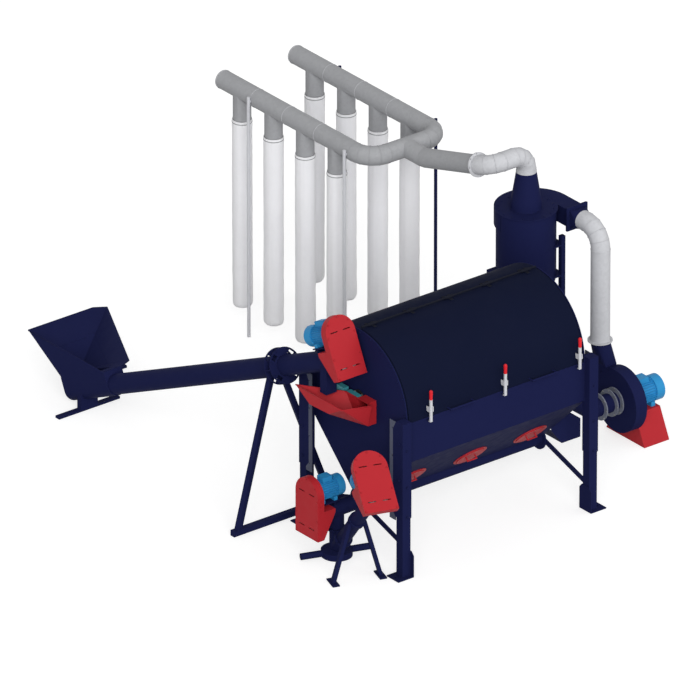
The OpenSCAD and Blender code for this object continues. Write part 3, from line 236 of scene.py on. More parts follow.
class Effects:
    """The shader groups that the finishes share."""

    def __init__(self) -> None:
        """Builds each group once."""
        place = {"Place": (VECTOR, None)}
        self.tone = node_group(
            "uneven_tone",
            {**place, "Colour": (COLOUR, None), "Patch Size": (FLOAT, 1.5),
             "Strength": (FLOAT, 0.1)},
            {"Colour": COLOUR}, self.fill_tone)
        self.dust = node_group(
            "settled_dust", {**place, "Amount": (FLOAT, 0.2), "Patch Size": (FLOAT, 4.0)},
            {"Mask": FLOAT}, self.fill_dust)
        self.wear = node_group(
            "edge_wear", {**place, "Width": (FLOAT, 0.004), "Amount": (FLOAT, 0.5)},
            {"Mask": FLOAT, "Normal": VECTOR}, self.fill_wear)
        self.scuffs = node_group(
            "scuffs", {**place, "Size": (FLOAT, 30.0), "Amount": (FLOAT, 0.3)},
            {"Mask": FLOAT}, self.fill_scuffs)
        self.skin = node_group(
            "surface_skin", {**place, "Size": (FLOAT, 400.0), "Waves": (FLOAT, 0.3)},
            {"Height": FLOAT}, self.fill_skin)

    @staticmethod
    def fill_tone(g: Graph, put: Sockets) -> dict:
        """Builds broad and small patches that darken and lighten a colour.

        Args:
            g: the graph to fill.
            put: the tree's inputs, by name.

        Returns:
            What each output takes.
        """
        broad = g.speckle(put["Place"], put["Patch Size"], 2.0)
        small = g.speckle(put["Place"], g.times(put["Patch Size"], 9.0), 4.0)
        both = g.plus(g.times(broad, 0.65), g.times(small, 0.35))
        swing = g.times(g.sum("SUBTRACT", both, 0.5), put["Strength"])
        return {"Colour": g.darken(put["Colour"], g.plus(g.times(swing, 2.0), 1.0))}

    @staticmethod
    def fill_dust(g: Graph, put: Sockets) -> dict:
        """Builds a mask that is strongest on faces that look up.

        Args:
            g: the graph to fill.
            put: the tree's inputs, by name.

        Returns:
            What each output takes.
        """
        normal = g.out("ShaderNodeNewGeometry", give="Normal")
        up = g.out("ShaderNodeSeparateXYZ", {0: normal}, give="Z")
        lying = g.ramp(up, 0.15, 0.95)
        patches = g.ramp(g.speckle(put["Place"], put["Patch Size"], 5.0), 0.35, 0.7, 0.25, 1.0)
        return {"Mask": g.times(g.times(lying, patches), put["Amount"])}

    @staticmethod
    def fill_wear(g: Graph, put: Sockets) -> dict:
        """Builds a mask along edges, and the rounded normal that it comes from.

        Args:
            g: the graph to fill.
            put: the tree's inputs, by name.

        Returns:
            What each output takes.
        """
        soft = g.out("ShaderNodeBevel", {"Radius": put["Width"]}, samples=4)
        sharp = g.out("ShaderNodeNewGeometry", give="Normal")
        turned = g.out("ShaderNodeVectorMath", {0: soft, 1: sharp}, give="Value",
                       operation="DOT_PRODUCT")
        edge = g.ramp(turned, 0.97, 0.80)
        chips = g.ramp(g.speckle(put["Place"], 60.0, 4.0), 0.42, 0.62)
        return {"Mask": g.times(g.times(edge, chips), put["Amount"]), "Normal": soft}

    @staticmethod
    def fill_scuffs(g: Graph, put: Sockets) -> dict:
        """Builds thin rubbed lines and flecks.

        Args:
            g: the graph to fill.
            put: the tree's inputs, by name.

        Returns:
            What each output takes.
        """
        stretched = g.out("ShaderNodeMapping", {
            "Vector": put["Place"], "Rotation": (0.3, 0.5, 0.9), "Scale": (1.0, 9.0, 6.0)})
        lines = g.ramp(g.speckle(stretched, put["Size"]), 0.63, 0.7)
        where = g.ramp(g.speckle(put["Place"], 2.6), 0.48, 0.62)
        return {"Mask": g.times(g.times(lines, where), put["Amount"])}

    @staticmethod
    def fill_skin(g: Graph, put: Sockets) -> dict:
        """Builds the fine skin of paint or metal, with the slow waves of rolled sheet.

        Args:
            g: the graph to fill.
            put: the tree's inputs, by name.

        Returns:
            What each output takes.
        """
        fine = g.speckle(put["Place"], put["Size"], 2.0)
        waves = g.times(g.speckle(put["Place"], 3.5, 1.0), put["Waves"])
        return {"Height": g.plus(g.times(fine, 0.12), waves)}


# ---- Finishes ----
class FinishGraph(Graph):
    """A finish's graph, which knows its place and the shared effects."""

    def __init__(self, tree: bpy.types.NodeTree, effects: Effects) -> None:
        """Starts the tree empty and reads the place from the object.

        Args:
            tree: the tree to fill.
            effects: the shared shader groups.
        """
        super().__init__(tree)
        self.effects = effects
        self.place = self.out("ShaderNodeTexCoord", give="Object")

    def effect(self, group: bpy.types.NodeTree, **inputs: object) -> Node:
        """Adds a shared effect at this finish's place, with _ for a space in its inputs' names."""
        values = {label.replace("_", " "): value for label, value in inputs.items()}
        return self.add("ShaderNodeGroup", {"Place": self.place, **values}, node_tree=group)

    def tone(self, colour: Point, **inputs: object) -> Socket:
        """Gives a colour with uneven patches."""
        return self.effect(self.effects.tone, Colour=linear(colour), **inputs).outputs[0]

    def dust(self, amount: float) -> Socket:
        """Gives the mask of settled dust."""
        return self.effect(self.effects.dust, Amount=amount).outputs[0]

    def scuff(self, amount: float) -> Socket:
        """Gives the mask of rubbed lines."""
        return self.effect(self.effects.scuffs, Amount=amount).outputs[0]

    def skin(self, strength: float, depth: float, edge: Node | None = None,
             **inputs: object) -> Socket:
        """Gives the normal of a fine skin, rounded at the edges where a wear effect is given."""
        height = self.effect(self.effects.skin, **inputs).outputs[0]
        return self.bump(strength, depth, height, edge)

    def bump(self, strength: float, depth: float, height: Socket,
             edge: Node | None = None) -> Socket:
        """Gives the normal of a height, rounded at the edges where a wear effect is given.

        Args:
            strength: the bump's strength.
            depth: its depth in metres.
            height: the height to read.
            edge: the wear effect, if there is one.

        Returns:
            The normal.
        """
        inputs = {"Strength": strength, "Distance": depth, "Height": height}
        if edge:
            inputs["Normal"] = edge.outputs["Normal"]
        return self.out("ShaderNodeBump", inputs)

    def uneven(self, value: Socket, centre: float, below: float, above: float) -> Socket:
        """Spreads a roughness about its centre by a noise value."""
        return self.ramp(value, 0.3, 0.7, centre - below, centre + above)


@dataclass(frozen=True)
class Finish:
    """One surface finish: the parts that all of them share."""

    name: str
    slot: str
    colour: Point
    roughness: float = 0.4
    dust_colour: Point = (150, 144, 132)

    def build(self, effects: Effects) -> bpy.types.Material:
        """Makes the material from the shared effects.

        Args:
            effects: the shared shader groups.

        Returns:
            The finished material.
        """
        material = bpy.data.materials.new(self.name)
        material.use_nodes = True
        graph = FinishGraph(material.node_tree, effects)
        shader = graph.out("ShaderNodeBsdfPrincipled", self.surface(graph))
        graph.add("ShaderNodeOutputMaterial", {"Surface": shader})
        material.diffuse_color = linear(self.colour)
        return material

    def surface(self, g: FinishGraph) -> dict[str, object]:
        """Gives the shader's inputs; each kind of finish has its own."""
        raise NotImplementedError


@dataclass(frozen=True)
class Paint(Finish):
    """Sprayed enamel on steel, with rubbed edges, scuffs and settled dust."""

    under: Point = (56, 60, 84)
    shine: float = 0.01
    dust: float = 0.004
    wear: float = 0.22
    uneven: float = 0.10
    waves: float = 0.3
    depth: float = 0.0012

    def surface(self, g: FinishGraph) -> dict[str, object]:
        """Builds paint over metal, worn at its edges.

        Args:
            g: the graph to fill.

        Returns:
            The shader's inputs.
        """
        edge = g.effect(g.effects.wear, Amount=self.wear)
        bare = g.sum("MAXIMUM", edge.outputs["Mask"], g.scuff(self.wear * 0.5))
        dust = g.dust(self.dust)
        worn = g.mix(bare, g.tone(self.colour, Strength=self.uneven), linear(self.under))
        clean = g.uneven(g.speckle(g.place, 14.0), self.roughness, 0.05, 0.06)
        return {"Base Color": g.mix(dust, worn, linear(self.dust_colour)),
                "Roughness": g.plus(g.plus(clean, g.times(dust, 0.4)), g.times(bare, 0.12)),
                "Normal": g.skin(0.5, self.depth, edge, Waves=self.waves),
                "Metallic": g.times(bare, 0.5), "Specular IOR Level": self.shine}


@dataclass(frozen=True)
class Galvanised(Finish):
    """Zinc-coated sheet with its crystal spangle."""

    dust_colour: Point = (150, 146, 138)
    spangle: float = 0.05
    dust: float = 0.02

    def surface(self, g: FinishGraph) -> dict[str, object]:
        """Builds spangled, faintly wavy zinc.

        Args:
            g: the graph to fill.

        Returns:
            The shader's inputs.
        """
        cell = g.out("ShaderNodeTexVoronoi", {"Vector": g.place, "Scale": 45.0, "Randomness": 1.0},
                     give="Color")
        shade = g.out("ShaderNodeSeparateColor", {0: cell})
        level = g.ramp(shade, 0.0, 1.0, 1.0 - self.spangle, 1.0 + self.spangle * 0.4)
        zinc = g.darken(g.tone(self.colour, Strength=0.07), level)
        edge = g.effect(g.effects.wear, Amount=0.2)
        return {"Base Color": g.mix(g.dust(self.dust), zinc, linear(self.dust_colour)),
                "Roughness": g.ramp(shade, 0.0, 1.0, self.roughness - 0.05, self.roughness + 0.08),
                "Normal": g.skin(0.35, 0.0016, edge, Size=160.0, Waves=0.6),
                "Specular IOR Level": 0.1}


@dataclass(frozen=True)
class Metal(Finish):
    """Bare or cast metal, from turned shafts to black castings."""

    metallic: float = 0.9
    grain: float = 220.0
    depth: float = 0.0006
    rust: float = 0.0
    rubbed: Point = (212, 212, 214)
    rust_colour: Point = (112, 66, 40)

    def surface(self, g: FinishGraph) -> dict[str, object]:
        """Builds metal with grain, scuffs and a little rust.

        Args:
            g: the graph to fill.

        Returns:
            The shader's inputs.
        """
        tone = g.tone(self.colour, Patch_Size=5.0, Strength=0.16)
        bright = g.mix(g.times(g.scuff(0.4), 0.3), tone, linear(self.rubbed))
        edge = g.effect(g.effects.wear, Width=0.002)
        stain = g.times(g.ramp(g.speckle(g.place, 7.0, 5.0), 0.55, 0.75), self.rust)
        clean = g.uneven(g.speckle(g.place, 20.0), self.roughness, 0.06, 0.08)
        return {"Base Color": g.mix(stain, bright, linear(self.rust_colour)),
                "Roughness": g.plus(clean, g.times(stain, 0.3)), "Metallic": self.metallic,
                "Normal": g.skin(0.4, self.depth, edge, Size=self.grain, Waves=0.1)}


@dataclass(frozen=True)
class Rubber(Finish):
    """Moulded rubber and plastic grips."""

    dust_colour: Point = (90, 90, 92)

    def surface(self, g: FinishGraph) -> dict[str, object]:
        """Builds matt rubber with dust in its pores.

        Args:
            g: the graph to fill.

        Returns:
            The shader's inputs.
        """
        tone = g.tone(self.colour, Patch_Size=12.0, Strength=0.15)
        return {"Base Color": g.mix(g.dust(0.15), tone, linear(self.dust_colour)),
                "Roughness": g.uneven(g.speckle(g.place, 30.0), self.roughness, 0.05, 0.05),
                "Normal": g.skin(0.5, 0.0006, Size=700.0, Waves=0.1), "Specular IOR Level": 0.15}


@dataclass(frozen=True)
class Felt(Finish):
    """Woven filter cloth, read along and round each bag by its own map."""

    dust_colour: Point = (176, 168, 152)
    threads: float = 260.0

    def surface(self, g: FinishGraph) -> dict[str, object]:
        """Builds a plain weave with nap, seams of dust and a darker foot.

        Args:
            g: the graph to fill.

        Returns:
            The shader's inputs.
        """
        cloth = g.out("ShaderNodeTexCoord", give="UV")
        ways = [g.out("ShaderNodeTexWave", {"Vector": cloth, "Scale": self.threads}, give="Fac",
                      bands_direction=way) for way in "XY"]
        nap = g.speckle(g.place, 90.0, 4.0)
        run = g.out("ShaderNodeMapping", {"Vector": g.place, "Scale": (9.0, 9.0, 0.8)})
        streaks = g.ramp(g.speckle(run, 1.6, 4.0), 0.5, 0.8, 0.0, 0.05)
        low = g.out("ShaderNodeSeparateXYZ", {0: g.place}, give="Z")
        soiled = g.plus(streaks, g.times(g.ramp(low, 0.75, 0.15), 0.05))
        tone = g.tone(self.colour, Patch_Size=3.0, Strength=0.06)
        height = g.plus(g.times(g.times(*ways), 0.5), g.times(nap, 0.6))
        return {"Base Color": g.mix(soiled, tone, linear(self.dust_colour)),
                "Roughness": g.uneven(nap, self.roughness, 0.04, 0.05),
                "Normal": g.bump(0.45, 0.0012, height), "Sheen Weight": 0.6,
                "Sheen Roughness": 0.5}


class Look(Enum):
    """The finishes of this machine."""

    NAVY = Paint("navy_enamel", "navy", (28, 32, 70), 0.50)
    HOOD = Paint("hood_enamel", "navy", (19, 24, 46), 0.55, waves=0.5)
    GRAPHITE = Paint("graphite_enamel", "navy", (30, 32, 42), 0.5, under=(70, 72, 84))
    RED = Paint("red_enamel", "red", (176, 38, 46), 0.45, under=(120, 50, 50), shine=0.12,
                wear=0.2)
    MOTOR = Paint("motor_enamel", "motor_blue", (42, 140, 197), 0.45, under=(90, 120, 140),
                  shine=0.2, wear=0.2)
    TEAL = Paint("gearbox_teal", "gearmotor_teal", (64, 150, 160), 0.45, under=(110, 140, 140),
                 shine=0.3, wear=0.2)
    PALE = Paint("pale_grey_enamel", "bright_steel", (204, 205, 210), 0.45,
                 under=(150, 150, 156), shine=0.3, wear=0.2)
    # ZINC and LIGHT_ZINC are lit and shaded tones of one duct zinc: ZINC paints the shade of the
    # manifold rows, the tee and the outlet's long run, LIGHT_ZINC the lit riser and bends.
    ZINC = Galvanised("shaded_duct_zinc", "duct_zinc", (163, 164, 167), 0.62)
    LIGHT_ZINC = Galvanised("lit_duct_zinc", "duct_zinc", (199, 200, 204), 0.62)
    STRIP = Galvanised("drilled_strip_zinc", "duct_zinc", (84, 88, 106), 0.5, spangle=0.04)
    SCREEN = Galvanised("screen_zinc", "duct_zinc", (168, 170, 176), 0.45, spangle=0.06)
    RING = Galvanised("flange_ring_zinc", "duct_zinc", (122, 126, 140), 0.5, spangle=0.04)
    STEEL = Metal("bare_steel", "worn_steel", (148, 150, 152), 0.42, metallic=0.8, rust=0.35)
    CAST = Metal("black_casting", "cast_black", (34, 35, 38), 0.55, metallic=0.4, grain=140.0,
                 depth=0.0012)
    BELT = Rubber("drive_belt", "belt_rubber", (30, 30, 31), 0.7)
    GRIP = Rubber("red_grip", "red", (216, 36, 46), 0.45)
    # BLACK is painted shade: thin black bars on the motor cowls stand for the dark inside of their
    # slots.
    BLACK = Rubber("painted_slot_shade", "belt_rubber", (24, 25, 30), 0.5)
    CLOTH = Felt("filter_cloth", "bag_cloth", (243, 243, 246), 0.85)

    @property
    def material(self) -> bpy.types.Material:
        """The built material of this finish."""
        return bpy.data.materials[self.value.name]


# ---- Objects and meshes ----
def add_object(name: str, data: bpy.types.ID) -> bpy.types.Object:
    """Adds an object with its data to the scene.

    Args:
        name: the object's name.
        data: the object's data.

    Returns:
        The new object.
    """
    made = bpy.data.objects.new(name, data)
    bpy.context.scene.collection.objects.link(made)
    return made


def mesh_of(form: bmesh.types.BMesh, name: str) -> bpy.types.Mesh:
    """Turns an edit mesh into a plain one and frees it.

    Args:
        form: the edit mesh.
        name: the mesh's name.

    Returns:
        The mesh.
    """
    mesh = bpy.data.meshes.new(name)
    form.to_mesh(mesh)
    form.free()
    return mesh


def evaluated(holder: bpy.types.Object) -> bpy.types.Mesh:
    """Gives an object's mesh with its modifiers applied."""
    depsgraph = bpy.context.evaluated_depsgraph_get()
    return bpy.data.meshes.new_from_object(holder.evaluated_get(depsgraph))


def run_tree(holder: bpy.types.Object, tree: bpy.types.NodeTree, look: Look,
             **sizes: float) -> bpy.types.Mesh:
    """Runs a geometry tree on an object.

    Args:
        holder: the object.
        tree: the tree.
        look: the finish that it gives.
        sizes: values for the tree's inputs.

    Returns:
        The result as a plain mesh.
    """
    modifier = holder.modifiers.new("shapes", "NODES")
    modifier.node_group = tree
    inputs = {i.name: i.identifier for i in tree.interface.items_tree if i.in_out == "INPUT"}
    for label, value in sizes.items():
        modifier[inputs[label]] = value
    modifier[inputs["Finish"]] = look.material
    return evaluated(holder)


def smooth(mesh: bpy.types.Mesh, sharp: float) -> None:
    """Shades a mesh smoothly, up to edges sharper than an angle in degrees."""
    mesh.shade_smooth()
    mesh.set_sharp_from_angle(angle=math.radians(sharp))


def keep(piece: bpy.types.Object, look: Look, body: str = "machine") -> bpy.types.Object:
    """Gives a new piece its main finish when it has none, and rides it on its body.

    Args:
        piece: the finished piece, with its place in its mesh.
        look: its main finish.
        body: the CAD body that it moves with.

    Returns:
        The same piece.
    """
    if not piece.data.materials:
        piece.data.materials.append(look.material)
    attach(piece, body)
    log.info("%s: %d faces on %s", piece.name, len(piece.data.polygons), body)
    return piece


Zone = tuple[Look, Callable[[Vector], bool]]


def dress(node: str, look: Look, zones: Sequence[Zone] = ()) -> bpy.types.Object:
    """Stands in for a CAD node with a merged copy that shades smoothly.

    Args:
        node: the CAD node.
        look: the copy's finish.
        zones: other finishes, each with a test on a face's middle.

    Returns:
        The copy.
    """
    source = frame["nodes"][node]
    form = bmesh.new()
    form.from_mesh(source.data)
    bmesh.ops.remove_doubles(form, verts=form.verts, dist=2e-6)
    mesh = mesh_of(form, f"{node}_skin")
    stale = mesh.attributes.get("custom_normal")
    if stale:
        mesh.attributes.remove(stale)
    for chosen in (look, *(zone[0] for zone in zones)):
        mesh.materials.append(chosen.material)
    for face in mesh.polygons:
        slots = (i for i, (_, holds) in enumerate(zones, 1) if holds(face.center))
        face.material_index = next(slots, 0)
    smooth(mesh, 32)
    copy = add_object(f"{node}_skin", mesh)
    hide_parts(node)
    return keep(copy, look, source["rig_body"])


def dress_all(look: Look, *nodes: str) -> None:
    """Dresses several CAD nodes in one finish."""
    for node in nodes:
        dress(node, look)


# ---- Shapes that repeat ----
@dataclass
class Spot:
    """A place for a repeated shape: where it is, which way it faces, and its long direction."""

    place: Vector
    facing: Vector
    along: Vector = Z


class Repeater:
    """A geometry tree that puts one small shape on each of many spots."""

    def __init__(self, name: str, sizes: dict[str, float],
                 shape: Callable[[Graph, Sockets], Socket]) -> None:
        """Builds the tree.

        Args:
            name: the tree's name.
            sizes: the named inputs and their usual values, in metres or counts.
            shape: builds the small shape, facing +Z, from the graph and the tree's inputs.
        """
        def fill(g: Graph, put: Sockets) -> dict:
            """Puts the shape on every spot, turned to its directions.

            Args:
                g: the graph to fill.
                put: the tree's inputs, by name.

            Returns:
                What each output takes.
            """
            ways = [g.out("GeometryNodeInputNamedAttribute", {"Name": label},
                          data_type="FLOAT_VECTOR") for label in ("facing", "along")]
            turn = g.out("FunctionNodeAxesToRotation", {
                "Primary Axis": ways[0], "Secondary Axis": ways[1]},
                primary_axis="Z", secondary_axis="X")
            copies = g.out("GeometryNodeInstanceOnPoints", {
                "Points": put["Spots"], "Instance": shape(g, put), "Rotation": turn})
            solid = g.out("GeometryNodeRealizeInstances", {"Geometry": copies})
            return {"Shapes": g.out("GeometryNodeSetMaterial", {
                "Geometry": solid, "Material": put["Finish"]})}

        inputs: Inputs = {"Spots": (GEOMETRY, None)}
        for label, value in sizes.items():
            inputs[label] = (COUNT if isinstance(value, int) else FLOAT, value)
        inputs["Finish"] = (MATERIAL, None)
        self.tree = node_group(name, inputs, {"Shapes": GEOMETRY}, fill, "GeometryNodeTree")
        self.tree.is_modifier = True

    def grow(self, name: str, spots: Iterable[Spot], look: Look, body: str = "machine",
             rounded: bool = False, **sizes: float) -> bpy.types.Object:
        """Puts the shape on the spots and keeps the result as one plain mesh.

        Args:
            name: the piece's name.
            spots: where the shapes go.
            look: their finish.
            body: the CAD body that they move with.
            rounded: whether their round sides shade smoothly.
            sizes: values for the tree's inputs.

        Returns:
            The finished piece.
        """
        spots = list(spots)
        mesh = bpy.data.meshes.new(name)
        mesh.from_pydata([s.place for s in spots], [], [])
        for label in ("facing", "along"):
            values = [c for s in spots for c in getattr(s, label)]
            mesh.attributes.new(label, "FLOAT_VECTOR", "POINT").data.foreach_set("vector", values)
        piece = add_object(name, mesh)
        plain = run_tree(piece, self.tree, look, **sizes)
        piece.modifiers.clear()
        piece.data = plain
        for label in [a.name for a in plain.attributes if a.name in ("facing", "along")]:
            plain.attributes.remove(plain.attributes[label])
        if rounded:
            smooth(plain, 40)
        else:
            plain.shade_flat()
        return keep(piece, look, body)


def lifted(g: Graph, shape: Socket, height: Socket) -> Socket:
    """Moves a centred shape up by half its height, so that it stands on its spot."""
    raised = g.vector(0.0, 0.0, g.times(height, 0.5))
    return g.out("GeometryNodeTransform", {"Geometry": shape, "Translation": raised})


def bolt_shape(g: Graph, put: Sockets) -> Socket:
    """Builds a hexagon head on its washer.

    Args:
        g: the graph to fill.
        put: the tree's inputs, by name.

    Returns:
        The shape.
    """
    joined = g.add("GeometryNodeJoinGeometry")
    for corners, radius, height in ((6, put["Head"], put["Height"]),
                                    (12, g.times(put["Head"], 1.35), g.times(put["Height"], 0.3))):
        disc = g.out("GeometryNodeMeshCylinder", {"Vertices": corners, "Radius": radius,
                                                  "Depth": height})
        g.tree.links.new(lifted(g, disc, height), joined.inputs[0])
    return joined.outputs[0]


def band_shape(g: Graph, put: Sockets) -> Socket:
    """Builds a rounded ring about the facing direction.

    Args:
        g: the graph to fill.
        put: the tree's inputs, by name.

    Returns:
        The shape.
    """
    loop = g.out("GeometryNodeCurvePrimitiveCircle", {"Resolution": put["Steps"],
                                                      "Radius": put["Ring"]})
    section = g.out("GeometryNodeCurvePrimitiveQuadrilateral", {
        "Width": put["Thickness"], "Height": put["Width"]})
    rounded = g.out("GeometryNodeFilletCurve", {
        "Curve": section, "Radius": g.times(put["Thickness"], 0.45), "Limit Radius": True})
    return g.out("GeometryNodeCurveToMesh", {"Curve": loop, "Profile Curve": rounded})


def bar_of(g: Graph, put: Sockets) -> Socket:
    """Builds a centred flat bar."""
    size = g.vector(put["Length"], put["Width"], put["Thickness"])
    return g.out("GeometryNodeMeshCube", {"Size": size})


def bar_shape(g: Graph, put: Sockets) -> Socket:
    """Builds a flat bar, long in the along direction and thin in the facing one."""
    return lifted(g, bar_of(g, put), put["Thickness"])


def fan_shape(g: Graph, put: Sockets) -> Socket:
    """Builds a round grille of bars that point to its middle.

    Args:
        g: the graph to fill.
        put: the tree's inputs, by name.

    Returns:
        The shape.
    """
    ring = g.out("GeometryNodeMeshCircle", {"Vertices": put["Count"], "Radius": put["Middle"]})
    outward = g.out("GeometryNodeInputPosition")
    turn = g.out("FunctionNodeAlignEulerToVector", {"Vector": outward}, axis="X")
    return g.out("GeometryNodeInstanceOnPoints", {"Points": ring, "Instance": bar_of(g, put),
                                                  "Rotation": turn})


def stitch_shape(g: Graph, put: Sockets) -> Socket:
    """Builds one thread stitch, long in the along direction.

    Args:
        g: the graph to fill.
        put: the tree's inputs, by name.

    Returns:
        The shape.
    """
    bead = g.out("GeometryNodeMeshIcoSphere", {"Radius": 0.5, "Subdivisions": 1})
    size = g.vector(put["Length"], put["Thread"], put["Thread"])
    return g.out("GeometryNodeTransform", {"Geometry": bead, "Scale": size})


class Repeaters:
    """The geometry trees of this machine."""

    def __init__(self) -> None:
        """Builds each tree once."""
        self.bolts = Repeater("hex_bolts", {"Head": 0.008, "Height": 0.006}, bolt_shape)
        self.bands = Repeater("bands", {"Ring": 0.08, "Width": 0.012, "Thickness": 0.003,
                                        "Steps": 48}, band_shape)
        self.bars = Repeater("bars", {"Length": 0.04, "Width": 0.006, "Thickness": 0.002},
                             bar_shape)
        self.grilles = Repeater("round_grilles", {"Count": 24, "Middle": 0.04, "Length": 0.02,
                                                  "Width": 0.003, "Thickness": 0.002}, fan_shape)
        self.stitches = Repeater("stitches", {"Length": 0.006, "Thread": 0.0014}, stitch_shape)

    def bolt(self, name: str, spots: Iterable[Spot], look: Look, head: float, height: float,
             body: str = "machine") -> None:
        """Puts hexagon heads of one size on the spots."""
        self.bolts.grow(name, spots, look, body, Head=head, Height=height)

    def seam(self, name: str, spots: Iterable[Spot], look: Look, ring: float,
             section: tuple[float, float] = (0.004, 0.0025)) -> None:
        """Puts rounded rings of one size, with a section's width and thickness, on the spots."""
        self.bands.grow(name, spots, look, rounded=True, Ring=ring, Width=section[0],
                        Thickness=section[1])

    def grille(self, name: str, spots: Iterable[Spot], rings: Sequence[tuple[float, int]],
               length: float, width: float) -> None:
        """Puts rings of thin black bars, each with its radius and count, on a motor's cowl:
        painted shade where the cowl's slots open.

        Args:
            name: the motor's name.
            spots: the place on the cowl.
            rings: the radius and count of each ring.
            length: a slot's length.
            width: a slot's width.
        """
        for number, (radius, count) in enumerate(rings, 1):
            self.grilles.grow(f"{name}_cowl_slot_shade_{number}", spots, Look.BLACK, Count=count,
                              Middle=radius, Length=length, Width=width, Thickness=0.0012)


# ---- Where shapes go ----
def circle_spots(centre: Vector, axis: Vector, radius: float, count: int,
                 start: float = 0.0, sweep: float = 360.0) -> list[Spot]:
    """Spreads spots on a circle or an arc.

    Args:
        centre: the circle's middle.
        axis: what the circle turns about, which is also the way that the spots face.
        radius: the circle's radius.
        count: how many spots.
        start: the first spot's angle, in degrees from the circle's own side.
        sweep: the arc in degrees; a full circle has no spot twice.

    Returns:
        The spots, with their long direction pointing outwards.
    """
    axis = axis.normalized()
    side = axis.orthogonal().normalized()
    if abs(axis.z) < 0.9:
        side = (Z - axis * axis.z).normalized()
    step = sweep / (count if sweep >= 360 else count - 1)
    found = []
    for i in range(count):
        out = side.copy()
        out.rotate(Matrix.Rotation(math.radians(start + i * step), 3, axis))
        found.append(Spot(centre + out * radius, axis, out))
    return found


def in_frame(place: Matrix, spots: Iterable[Spot]) -> list[Spot]:
    """Moves spots from a drive's own axes into the machine's."""
    turn = place.to_3x3()
    return [Spot(place @ s.place, turn @ s.facing, turn @ s.along) for s in spots]


def axes(at: Point, heading: float, rise: float) -> Matrix:
    """Gives the axes of a screw: +X points along its heading and rises by an angle in degrees."""
    return (Matrix.Translation(at) @ Matrix.Rotation(math.radians(heading), 4, "Z")
            @ Matrix.Rotation(math.radians(-rise), 4, "Y"))


def bend_seams(corner: Sequence[Vector], radius: float, count: int) -> list[Spot]:
    """Spreads the seams of a segmented bend along its arc.

    Args:
        corner: a point before the bend, the corner of its middle line, and a point after it.
        radius: the middle line's radius.
        count: how many seams, with one at each end.

    Returns:
        The seams' places, facing along the bend.
    """
    before, at, after = corner
    first, last = (at - before).normalized(), (after - at).normalized()
    axis = first.cross(last).normalized()
    sweep = first.angle(last)
    start = at - first * radius * math.tan(sweep / 2)
    centre = start + axis.cross(first) * radius
    found = []
    for i in range(count):
        turn = Matrix.Rotation(sweep * i / (count - 1), 3, axis)
        found.append(Spot(centre + turn @ (start - centre), turn @ first, axis))
    return found


class Assembly:
    """A part of the machine, which dresses its CAD nodes and adds its details."""

    def build(self, repeat: Repeaters) -> None:
        """Dresses the nodes and adds the details.

        Args:
            repeat: the geometry trees.
        """
        raise NotImplementedError


# ---- Housing ----
@dataclass
class Housing(Assembly):
    """The tub, its end plates, the fixed hood, the lid with its latches, and the covers."""

    radius: float = 0.604
    axis_z: float = 1.322
    half_length: float = 0.905
    hinge_step: float = 0.004
    ears_over: float = 0.034
    ears_out: float = 0.001
    grips_out: float = 0.012
    grip_over: float = 0.194
    rim_inset: float = 0.022
    rim_bolts: int = 13
    hinge_leaf: float = 0.036
    hinge_top: float = 0.006
    hinge_pitch: float = 0.44
    screws_half: float = 0.03

    def build(self, repeat: Repeaters) -> None:
        """Dresses the housing and adds its fasteners.

        Args:
            repeat: the geometry trees.
        """
        ridge = self.axis_z + self.radius + self.hinge_step
        ears_z = self.axis_z + self.ears_over
        hinge: Zone = (Look.GRAPHITE, lambda c: c.z > ridge)
        grips_y, ears_y = -self.radius - self.grips_out, -self.radius - self.ears_out
        grips: Zone = (Look.NAVY, lambda c: c.y < grips_y and c.z < ears_z)
        ears: Zone = (Look.PALE, lambda c: c.y < ears_y and c.z >= ears_z)
        dress_all(Look.NAVY, "tub", "end_plate_left", "end_plate_right")
        dress("rear_hood", Look.HOOD, [hinge])
        dress("lid", Look.HOOD, [hinge, grips, ears])
        dress("latch_keepers", Look.NAVY)
        dress("inspection_covers", Look.RED)
        for latch in ("latch_left", "latch_middle", "latch_right"):
            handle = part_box(latch)[0].z + self.grip_over
            dress(latch, Look.PALE, [(Look.GRIP, lambda c, z=handle: c.z > z)])
        self.add_rim_bolts(repeat)
        self.add_hinge_screws(repeat)

    def add_rim_bolts(self, repeat: Repeaters) -> None:
        """Bolts the end plates' arcs.

        Args:
            repeat: the geometry trees.
        """
        spots = []
        for side in (-1, 1):
            centre = Vector((side * self.half_length, 0, self.axis_z))
            spots += circle_spots(centre, X * side, self.radius - self.rim_inset, self.rim_bolts,
                                  start=-84, sweep=168)
        repeat.bolt("end_plate_rim_bolts", spots, Look.NAVY, head=0.0095, height=0.007)

    def add_hinge_screws(self, repeat: Repeaters) -> None:
        """Screws the hinge leaves down on both sides of the ridge.

        Args:
            repeat: the geometry trees.
        """
        reach = self.hinge_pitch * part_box("lid")[1].x
        top = self.axis_z + self.radius + self.hinge_top
        for name, side, ways, body in (
                ("hinge_screws", 1, (-self.screws_half, self.screws_half), "machine"),
                ("hinge_screws_of_the_lid", -1, (0.0,), "lid")):
            spots = [Spot(Vector((reach * i + dx, side * self.hinge_leaf, top)), Z)
                     for i in range(-2, 3) for dx in ways]
            repeat.bolt(name, spots, Look.GRAPHITE, head=0.006, height=0.004, body=body)


